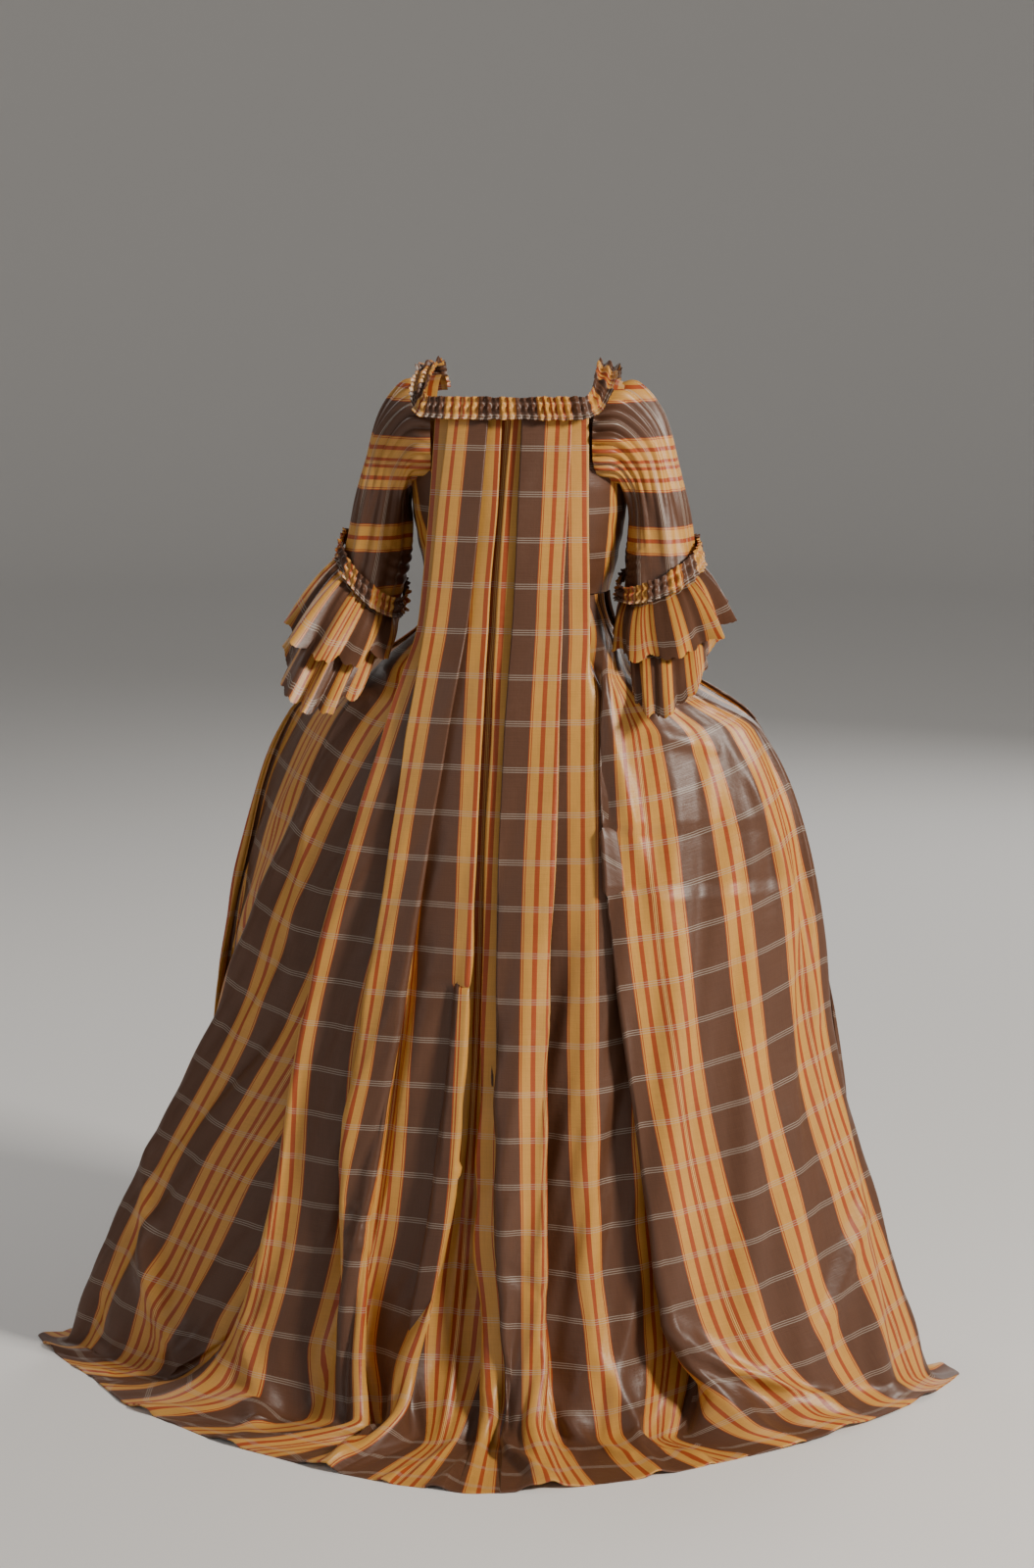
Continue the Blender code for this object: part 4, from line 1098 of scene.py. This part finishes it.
def ruche(first, second, away, seed, wraps=False):
    """Straight across between two edge lines, plus the normal times the puff and the
    gathers' wave, plus teeth at the edges; away points out of the body."""
    length = np.linalg.norm(np.diff(first, axis=0), axis=1).sum()
    gathers = max(LEAST_GATHERS, round(length / GATHER_PITCH))
    count = len(first)
    place = np.arange(count) / (count if wraps else count - 1)
    random = np.random.default_rng(seed)
    drift = sum(random.uniform(*DRIFT_SIZES)
                * np.sin(2 * np.pi * waves * place + random.uniform(0, 6))
                for waves in DRIFT_WAVES)
    share = np.linspace(-RUCHE_OVER, 1 + RUCHE_OVER, RUCHE_ACROSS)[:, None]
    middle = first + (second - first) * share[..., None]
    across = unit(second - first)
    if wraps:
        along = np.roll(first, -1, axis=0) - np.roll(first, 1, axis=0)
    else:
        along = np.gradient((first + second) / 2, axis=0)
    normal = unit(np.cross(along, across))
    normal *= np.sign((normal * away).sum(-1)).mean()
    lean = GATHER_LEAN * np.sin(4 * np.pi * place + seed) * (share - 0.5) * 2
    gather = np.cos(2 * np.pi * gathers * place + drift + lean)
    nearest = np.minimum(np.abs(share - THREADS[0]), np.abs(share - THREADS[1]))
    loose = smooth_step(nearest / THREAD_REACH) * (1 - HELD) + HELD
    sizes = random.uniform(*GATHER_SIZES, gathers + 1)
    sizes[-1] = sizes[0]
    size = np.interp(place * gathers, np.arange(gathers + 1), sizes)
    raised = (PUFF * size + WAVE * gather * (0.4 + 0.6 * size)) * loose
    teeth = TOOTH_CUT * np.abs(((place * length * FULLNESS / TOOTH) % 1) * 2 - 1)
    edge = np.sign(share - 0.5) * (np.abs(share - 0.5) > 0.5)
    spread = (share - 0.5) * 2 * UNEVEN_EDGE * (size - MEAN_SIZE) + edge * teeth
    grid = middle + normal * raised[..., None] + across * spread[..., None]
    cloth = (np.append(place, 1) if wraps else place) * length * FULLNESS
    return grid, cloth + 0 * share, share * RUCHE_CLOTH + 0 * cloth


def add_ruche(name, first, second, away, seed):
    """An open ruche, turned so that its faces look away from the body."""
    grid, across, down = ruche(first, second, away, seed)
    facing = (outward(grid) * away).sum(-1).mean()
    if facing < 0:
        grid, across, down = grid[::-1], across[::-1], down[::-1]
    pieces[name] = cloth_mesh(name, grid, across, down)


neck_first, neck_second = (evenly(line, NECK_POINTS) for line in (NECK_OUTER, NECK_INNER))
neck_away = unit((neck_first + neck_second) / 2 - np.array(NECK_CENTRE))
add_ruche("neck_ruche", neck_first, neck_second, neck_away, seed=51)
for side_name, side in SIDES:
    heights = np.linspace(ROBING_HEIGHTS[0], ROBING_HEIGHTS[-1], ROBING_POINTS)
    angles = through(-np.array(ROBING_HEIGHTS), ROBING_ANGLES, -heights)
    edges = [torso(angles + shift, heights, out=TRIM_LIFT) * np.array([side, 1, 1])
             for shift in (-FRONT_WIDTH, FRONT_WIDTH)]
    away = unit((edges[0] + edges[1]) / 2 * np.array([1, 1, 0]))
    add_ruche(f"robing_{side_name}", *edges, away, seed=61 + side)

# %% [markdown]
# ## Cuffs and flounces
#
# A ruche goes round the elbow, and two flounces hang below it.  A flounce is a tube
# from a gathered oval to a wider, tilted one.  Its folds grow towards the lower edge,
# and the edge is cut into scallops with pinked teeth.

# %% Cuffs and flounces
# the lower edge's oval, as for a sleeve, and the size of the gathered top
FLOUNCES = {
    "flounce_upper_right": ((0.218, -0.084, 1.064), (0.078, 0, 0.015), (0, -0.080, -0.030),
                            1.05),
    "flounce_lower_right": ((0.228, -0.118, 1.030), (0.050, 0.010, 0.016),
                            (-0.008, -0.098, -0.066), 0.78),
    "flounce_upper_left": ((-0.238, -0.080, 1.052), (-0.072, 0, 0.014),
                           (0, -0.082, -0.030), 1.05),
    "flounce_lower_left": ((-0.254, -0.106, 1.012), (-0.056, 0, 0.010),
                           (-0.008, -0.088, -0.055), 0.78),
}
FLOUNCE_DROP, FLOUNCE_FOLDS, FLOUNCE_SWING = 0.004, 9, 0.0080
EDGE_CURL = 0.0035          # the pinked edge rolls out and in by this much
FLOUNCE_COLUMNS, FLOUNCE_LEVELS = 420, 34
SCALLOPS, SCALLOP_DEPTH, TEETH, TOOTH_DEPTH = 26, 0.0055, 156, 0.0016
FLOUNCE_CLOTH = 0.95        # cloth round one flounce before it is gathered
FLOUNCE_BULGE = 0.006       # it stands out this far between its top and its edge
SMALL_FOLDS, SMALL_SWING = 2.6, 0.0016  # small folds for each big one, and their height
TOP_SWING = 0.10            # share of the folds' swing at the gathered top
EDGE_CURLS = 17
UNDER_SHIFT = 0.03          # the lower flounce's cloth starts this much further on
CUFF_RISE, CUFF_LOW, CUFF_HIGH = 0.36, 1.20, 1.15


def add_cuff(side_name, side, turns):
    """A ruche between an oval at the elbow and one a little higher up the sleeve."""
    last, above = np.array(SLEEVES[side_name][-1]), np.array(SLEEVES[side_name][-2])
    centre, outer, rear = last
    risen = last + (above - last) * CUFF_RISE
    low = ring(centre, outer * CUFF_LOW, rear * CUFF_LOW, turns)
    high = ring(risen[0], risen[1] * CUFF_HIGH, risen[2] * CUFF_HIGH, turns)
    strip = ruche(low, high, unit(low - centre), 71 + side, wraps=True)
    name = f"cuff_ruche_{side_name}"
    pieces[name] = cloth_mesh(name, *(part[::-1] for part in strip), wraps=True)


def pinked_edge(turns):
    """How far the edge hangs down round a flounce: scallops, with small teeth on them."""
    scallop = np.abs(np.sin(turns * SCALLOPS / 2)) * SCALLOP_DEPTH
    tooth = np.abs(((np.arange(len(turns)) * TEETH / len(turns)) % 1) * 2 - 1)
    return scallop + tooth * TOOTH_DEPTH - SCALLOP_DEPTH


def add_flounce(name, under, centre, outer, rear, side, turns):
    """Straight from a small oval to a larger one, plus the outward direction times the
    folds' swing, which grows downwards."""
    low_centre, low_outer, low_rear, gathered = FLOUNCES[name]
    drop = unit(np.cross(outer, rear)) * side
    top = ring(centre + drop * FLOUNCE_DROP, outer * gathered, rear * gathered, turns)
    foot = ring(low_centre, low_outer, low_rear, turns)
    random = np.random.default_rng(80 + (side + 1) + under)
    phase = random.uniform(0, 6, 3)
    uneven = 0.8 * np.sin(2 * turns + phase[0]) + 0.5 * np.sin(3 * turns + phase[1])
    depth = 1 + 0.40 * np.sin(turns + phase[2]) + 0.25 * np.sin(4 * turns + phase[0])
    big = np.cos(FLOUNCE_FOLDS * turns + uneven)
    small = np.cos(SMALL_FOLDS * FLOUNCE_FOLDS * turns + 2 * uneven + phase[2])
    share = np.linspace(0, 1, FLOUNCE_LEVELS)[:, None]
    swing = FLOUNCE_SWING * (TOP_SWING + (1 - TOP_SWING) * share) * big * depth
    swing = swing + EDGE_CURL * share ** 8 * np.sin(EDGE_CURLS * turns + 3 * uneven)
    swing = swing + SMALL_SWING * small * (1 - 0.5 * share)
    bulge = FLOUNCE_BULGE * np.sin(np.pi * share ** 0.7)
    away = unit(ring(np.zeros(3), outer, rear, turns))
    grid = top + (foot - top) * share[..., None] + away * (swing + bulge)[..., None]
    grid = grid + unit(foot - top) * (pinked_edge(turns) * share ** 6)[..., None]
    around = np.arange(len(turns) + 1) / len(turns) * FLOUNCE_CLOTH + UNDER_SHIFT * under
    length = np.linalg.norm(foot - top, axis=-1).mean()
    pieces[name] = cloth_mesh(name, grid, around + 0 * share, share * length + 0 * around,
                              wraps=True)


for side_name, side in SIDES:
    turns = np.arange(FLOUNCE_COLUMNS) * 2 * np.pi / FLOUNCE_COLUMNS * -side
    add_cuff(side_name, side, turns)
    elbow_oval = np.array(SLEEVES[side_name][-1])
    for under, level in enumerate(("upper", "lower")):
        add_flounce(f"flounce_{level}_{side_name}", under, *elbow_oval, side, turns)

# %% [markdown]
# ## Striped silk
#
# The stripe is symmetric about the middle of each band, so half a repeat tells all of
# it.  Because the silk was woven with a brown weft, every colour is a little dull, and
# the sheen is a soft one.

# %% Colours
BROWN = (0.094, 0.039, 0.020)
RUST = (0.320, 0.058, 0.012)
GOLD = (0.510, 0.250, 0.052)
PALE = (0.560, 0.330, 0.095)
LINE = (0.400, 0.350, 0.290)
HALF_REPEAT = REPEAT / 2 * 1000
# distance from the middle of the wide band in millimetres, and the colour from there on
STRIPES = ((0.0, PALE), (0.8, RUST), (1.6, PALE), (2.4, RUST), (7.0, GOLD), (19.0, RUST),
           (25.0, GOLD), (35.5, RUST), (36.8, GOLD), (38.0, RUST), (39.5, BROWN),
           (88.5, RUST), (89.8, GOLD), (91.0, RUST), (92.2, GOLD), (105.6, RUST))
# distance from the middle of three fine lines in millimetres: half of each line and gap
WEFT_LINES = ((0.0, 1), (0.55, 0), (2.5, 1), (3.6, 0))
WEFT_REPEAT, LINE_STRENGTH = 0.062, 0.50
HALF_WEFT = WEFT_REPEAT / 2 * 1000
STREAK_SCALE, SLUB_SCALE, CLOUD_SCALE = 900.0, 700.0, 9.0
THREAD_STRETCH = 0.03       # streaks and slubs are drawn out along their thread
SILK_ROUGHNESS, SILK_SHEEN, SHEEN_ROUGHNESS = 0.42, 0.06, 0.30
SILK_SPECULAR, SILK_ANISOTROPIC = 0.40, 0.35
SHEEN_TINT = (0.90, 0.66, 0.52)
print(len(STRIPES), "stripes in half of a", REPEAT, "m repeat")

# %% [markdown]
# ## Building a material
#
# A shader is a chain of small nodes.  This class adds each kind that the silk needs in
# one line, and the longer ones, such as a colour ramp or a stretched noise, by name.

# %% Nodes
class Nodes:
    """Adds nodes to a material and feeds their inputs."""

    def __init__(self, material):
        self.tree = material.node_tree
        self.shader = self.tree.nodes["Principled BSDF"]

    def feed(self, node, inputs):
        """Gives each named or numbered input a plain value or another node's output."""
        for key, value in inputs.items():
            socket = node.inputs[key]
            if isinstance(value, bpy.types.NodeSocket):
                self.tree.links.new(value, socket)
            elif socket.type == "RGBA":
                socket.default_value = (*value, 1)
            else:
                socket.default_value = value

    def add(self, kind, inputs, **settings):
        """A new node with its settings and inputs."""
        node = self.tree.nodes.new(f"ShaderNode{kind}")
        for key, value in settings.items():
            setattr(node, key, value)
        self.feed(node, inputs)
        return node

    def maths(self, operation, first, second):
        """first (operation) second, where either is a socket or a number."""
        return self.add("Math", {0: first, 1: second}, operation=operation).outputs[0]

    def folded(self, distance, repeat):
        """0 at the middle of a repeat, 1 half a repeat away, and back again."""
        share = self.maths("PINGPONG", self.maths("DIVIDE", distance, repeat), 0.5)
        return self.maths("MULTIPLY", share, 2.0)

    def ramp(self, value, stops):
        """A ramp with hard stops: (position 0 to 1, colour)."""
        node = self.add("ValToRGB", {0: value})
        band = node.color_ramp
        band.interpolation = "CONSTANT"
        while len(band.elements) < len(stops):
            band.elements.new(0.5)
        for element, (position, _) in zip(band.elements, stops):
            element.position = position
        for element, (_, colour) in zip(band.elements, stops):
            element.color = (*colour, 1)
        return node.outputs[0]

    def noise(self, vector, scale, stretch=None, detail=3.0, roughness=0.5):
        """Noise, on a stretched copy of the place if a stretch is given."""
        if stretch:
            vector = self.add("Mapping", {0: vector, "Scale": stretch}).outputs[0]
        inputs = {"Vector": vector, "Scale": scale, "Detail": detail, "Roughness": roughness}
        return self.add("TexNoise", inputs).outputs["Fac"]

    def bump(self, height, strength, distance, normal=None):
        """A bump over another bump's normal."""
        inputs = {"Height": height, "Strength": strength, "Distance": distance}
        if normal:
            inputs["Normal"] = normal
        return self.add("Bump", inputs).outputs[0]


# %% [markdown]
# ## Silk
#
# The place across the cloth is folded back and forth over half a repeat, and one colour
# ramp with hard stops paints it.  The weft lines are the same idea down the cloth.
# Threads are never even, so long streaks run with the warp, short slubs with the weft,
# and slow clouds over both.  The ribs and the crinkles are bumps.

# %% Silk
RIB_DEPTH, CRINKLE_DEPTH, CRINKLE_SCALE = 0.0006, 0.004, 26.0
SHADE_SHARES = {"clouds": 0.30, "slubs": 0.26, "streaks": 0.34}
SHADE_LEAST = 0.55          # the darkest shade that the unevenness can give
SLUB_ROUGHNESS, ROUGHNESS_DROP = 0.16, 0.08


def striped_silk(name, rib_strength, crinkle_strength):
    """Colour by place across the cloth, fine lines by length down it, and a ribbed bump."""
    material = bpy.data.materials.new(name)
    material.use_nodes = True
    n = Nodes(material)
    cloth = n.add("UVMap", {}, uv_map="cloth").outputs[0]
    across, down = n.add("SeparateXYZ", {0: cloth}).outputs[:2]

    stops = [(place / HALF_REPEAT, colour) for place, colour in STRIPES]
    stripe = n.ramp(n.folded(across, REPEAT), stops)
    stops = [(place / HALF_WEFT, (white,) * 3) for place, white in WEFT_LINES]
    line = n.ramp(n.folded(down, WEFT_REPEAT), stops)
    lined = n.add("Mix", {0: n.maths("MULTIPLY", line, LINE_STRENGTH), 6: stripe, 7: LINE},
                  data_type="RGBA").outputs[2]

    slubs = n.noise(cloth, SLUB_SCALE, stretch=(THREAD_STRETCH, 1.0, 1.0))
    streaks = n.noise(cloth, STREAK_SCALE, stretch=(1.0, THREAD_STRETCH, 1.0))
    uneven = {"clouds": n.noise(cloth, CLOUD_SCALE), "slubs": slubs, "streaks": streaks}
    shade = SHADE_LEAST
    for kind, share in SHADE_SHARES.items():
        shade = n.maths("ADD", n.maths("MULTIPLY", uneven[kind], share), shade)
    shaded = n.add("VectorMath", {0: lined, 3: shade}, operation="SCALE").outputs[0]
    rough = n.maths("ADD", n.maths("MULTIPLY", slubs, SLUB_ROUGHNESS),
                    SILK_ROUGHNESS - ROUGHNESS_DROP)

    rib = n.bump(slubs, rib_strength, RIB_DEPTH)
    crinkles = n.noise(cloth, CRINKLE_SCALE, detail=4.0, roughness=0.55)
    relief = n.bump(crinkles, crinkle_strength, CRINKLE_DEPTH, rib)
    n.feed(n.shader, {
        "Base Color": shaded, "Roughness": rough, "Normal": relief,
        "Specular IOR Level": SILK_SPECULAR, "Anisotropic": SILK_ANISOTROPIC,
        "Sheen Weight": SILK_SHEEN, "Sheen Roughness": SHEEN_ROUGHNESS,
        "Sheen Tint": SHEEN_TINT,
    })
    return material


silk = striped_silk("striped silk", rib_strength=0.35, crinkle_strength=0.28)
trim = striped_silk("gathered silk", rib_strength=0.30, crinkle_strength=0.15)
TRIM_PIECES = [name for name in pieces if "ruche" in name or "robing" in name]
for name, piece in pieces.items():
    piece.data.materials.append(trim if name in TRIM_PIECES else silk)
print(len(pieces), "pieces,", len(TRIM_PIECES), "of them gathered bands")

# %% [markdown]
# ## Flat sizes
#
# A dressmaker knows each piece by the size it was cut.  Each half of the back is one
# whole loom width.  The bodice pieces, the sleeves and the lower flounces are shaped, so
# their flat area is given too.

# %% The cut of each kind of piece; each piece attached to the root, its frame part hidden
# width, length, how it is held, flat area where the cut isn't a rectangle
CUTS = {
    "front_skirt": (0.36, 1.16, "gathered", None),
    "side": (0.58, 1.42, "gathered", None),
    "back": (0.54, 1.58, "hung", None),
    "bodice_side": (0.165, 0.252, "stretched", 0.025),
    "bodice_front": (0.160, 0.262, "stretched", 0.027),
    "shoulder_strap": (0.042, 0.140, "hung", None),
    "sleeve": (0.40, 0.27, "gathered", 0.085),
    "cuff_ruche": (0.46, 0.030, "gathered", None),
    "flounce_upper": (0.60, 0.070, "gathered", None),
    "flounce_lower": (0.60, 0.090, "gathered", 0.046),
    "robing": (0.34, 0.034, "gathered", None),
    "neck_ruche": (0.86, 0.032, "gathered", None),
}
for name, piece in pieces.items():
    kind = name.replace("_left", "").replace("_right", "")
    width, length, held, area = CUTS[kind]
    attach(piece, "root")
    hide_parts(name)
print("the cut of", len(CUTS), "kinds of piece stated")

# %% [markdown]
# ## Floor
#
# A pale floor that turns up into a plain pale wall all round stays out of the way and
# has no hard line where the two meet.

# %% Floor
STAGE_COLOUR = (0.78, 0.77, 0.76)
STAGE_RADIUS, STAGE_TURN, STAGE_TOP = 13.0, 3.5, 7.0
STAGE_SIDES, STAGE_STEPS = 96, 16


def stage():
    """A round floor that turns up through a quarter circle into a low wall."""
    turns = np.arange(STAGE_SIDES + 1) * 2 * np.pi / STAGE_SIDES
    rise = np.linspace(0, np.pi / 2, STAGE_STEPS)
    reach = np.concatenate([[0.0], STAGE_RADIUS - STAGE_TURN + STAGE_TURN * np.sin(rise),
                            [STAGE_RADIUS]])[:, None]
    height = np.concatenate([[0.0], STAGE_TURN * (1 - np.cos(rise)), [STAGE_TOP]])[:, None]
    points = np.stack([reach * np.cos(turns), reach * np.sin(turns),
                       height + 0 * turns - SHOULDER_HEIGHT], -1).reshape(-1, 3)
    quads = quads_of(len(reach), len(turns))
    mesh = bpy.data.meshes.new("floor")
    mesh.from_pydata(points.tolist(), [], quads.tolist())
    mesh.polygons.foreach_set("use_smooth", np.ones(len(quads), bool))
    floor = placed("floor", mesh)
    material = bpy.data.materials.new("pale floor")
    material.use_nodes = True
    shader = material.node_tree.nodes["Principled BSDF"]
    shader.inputs["Base Color"].default_value = (*STAGE_COLOUR, 1)
    shader.inputs["Roughness"].default_value = 0.9
    mesh.materials.append(material)


stage()
print("floor", 2 * STAGE_RADIUS, "m across")

# %% [markdown]
# ## Light
#
# A key light from beyond the viewer's right shoulder rakes across the pleats, and a
# broad, weaker one fills from the left.  Two more light the gown's far side.

# %% Lights
# place, size in metres, power in watts, colour
LIGHTS = {
    "key": ((3.4, -2.0, 1.4), 0.7, 250.0, (1.0, 0.94, 0.85)),
    "fill": ((-3.0, -3.6, 0.9), 2.6, 26.0, (1.0, 0.98, 0.96)),
    "rim": ((-2.6, 2.0, 2.0), 1.6, 30.0, (1.0, 0.97, 0.93)),
    "front": ((1.6, 4.4, 1.2), 2.2, 60.0, (1.0, 0.98, 0.95)),
}
LIT_POINT = np.array((0.0, -0.1, -0.6))
WORLD_COLOUR, WORLD_STRENGTH = (1.0, 0.98, 0.95), 0.20


def look(thing, target):
    """Turns an object's -Z axis from its place to a target."""
    from_target = unit(np.array(thing.location) - target)
    right = unit(np.cross([0, 0, 1.0], from_target))
    up = np.cross(from_target, right)
    axes = np.eye(4)
    axes[:3, 0], axes[:3, 1], axes[:3, 2] = right, up, from_target
    axes[:3, 3] = thing.location
    thing.matrix_world = Matrix(axes.tolist())


for name, (place, size, power, colour) in LIGHTS.items():
    data = bpy.data.lights.new(name, "AREA")
    data.size, data.energy, data.color = size, power, colour
    light = placed(name, data)
    light.location = place
    look(light, LIT_POINT)
world = bpy.data.worlds.new("studio")
bpy.context.scene.world = world
world.use_nodes = True
background = world.node_tree.nodes["Background"]
background.inputs[0].default_value = (*WORLD_COLOUR, 1)
background.inputs[1].default_value = WORLD_STRENGTH
print(len(LIGHTS), "lights,", sum(entry[2] for entry in LIGHTS.values()), "watts")

# %% [markdown]
# ## Camera
#
# A long lens a little above the shoulders, turned a few degrees to the wearer's right,
# sees the whole back and the spread of the train.

# %% Camera
CAMERA_DISTANCE, CAMERA_HEIGHT, CAMERA_TURN, CAMERA_TILT = 4.6, 0.242, 7.0, 10.10
CAMERA_LENS, CAMERA_SENSOR, CAMERA_SHIFT = 76.5, 36.0, -0.0016
turn = np.radians(CAMERA_TURN)
camera_data = bpy.data.cameras.new("camera")
camera_data.lens, camera_data.sensor_width = CAMERA_LENS, CAMERA_SENSOR
camera_data.shift_x = CAMERA_SHIFT
camera = placed("camera", camera_data)
camera.location = (CAMERA_DISTANCE * np.sin(turn), -CAMERA_DISTANCE * np.cos(turn),
                   CAMERA_HEIGHT)
camera.rotation_euler = (np.radians(90 - CAMERA_TILT), 0, turn)
bpy.context.scene.camera = camera
print("camera", CAMERA_DISTANCE, "m away")
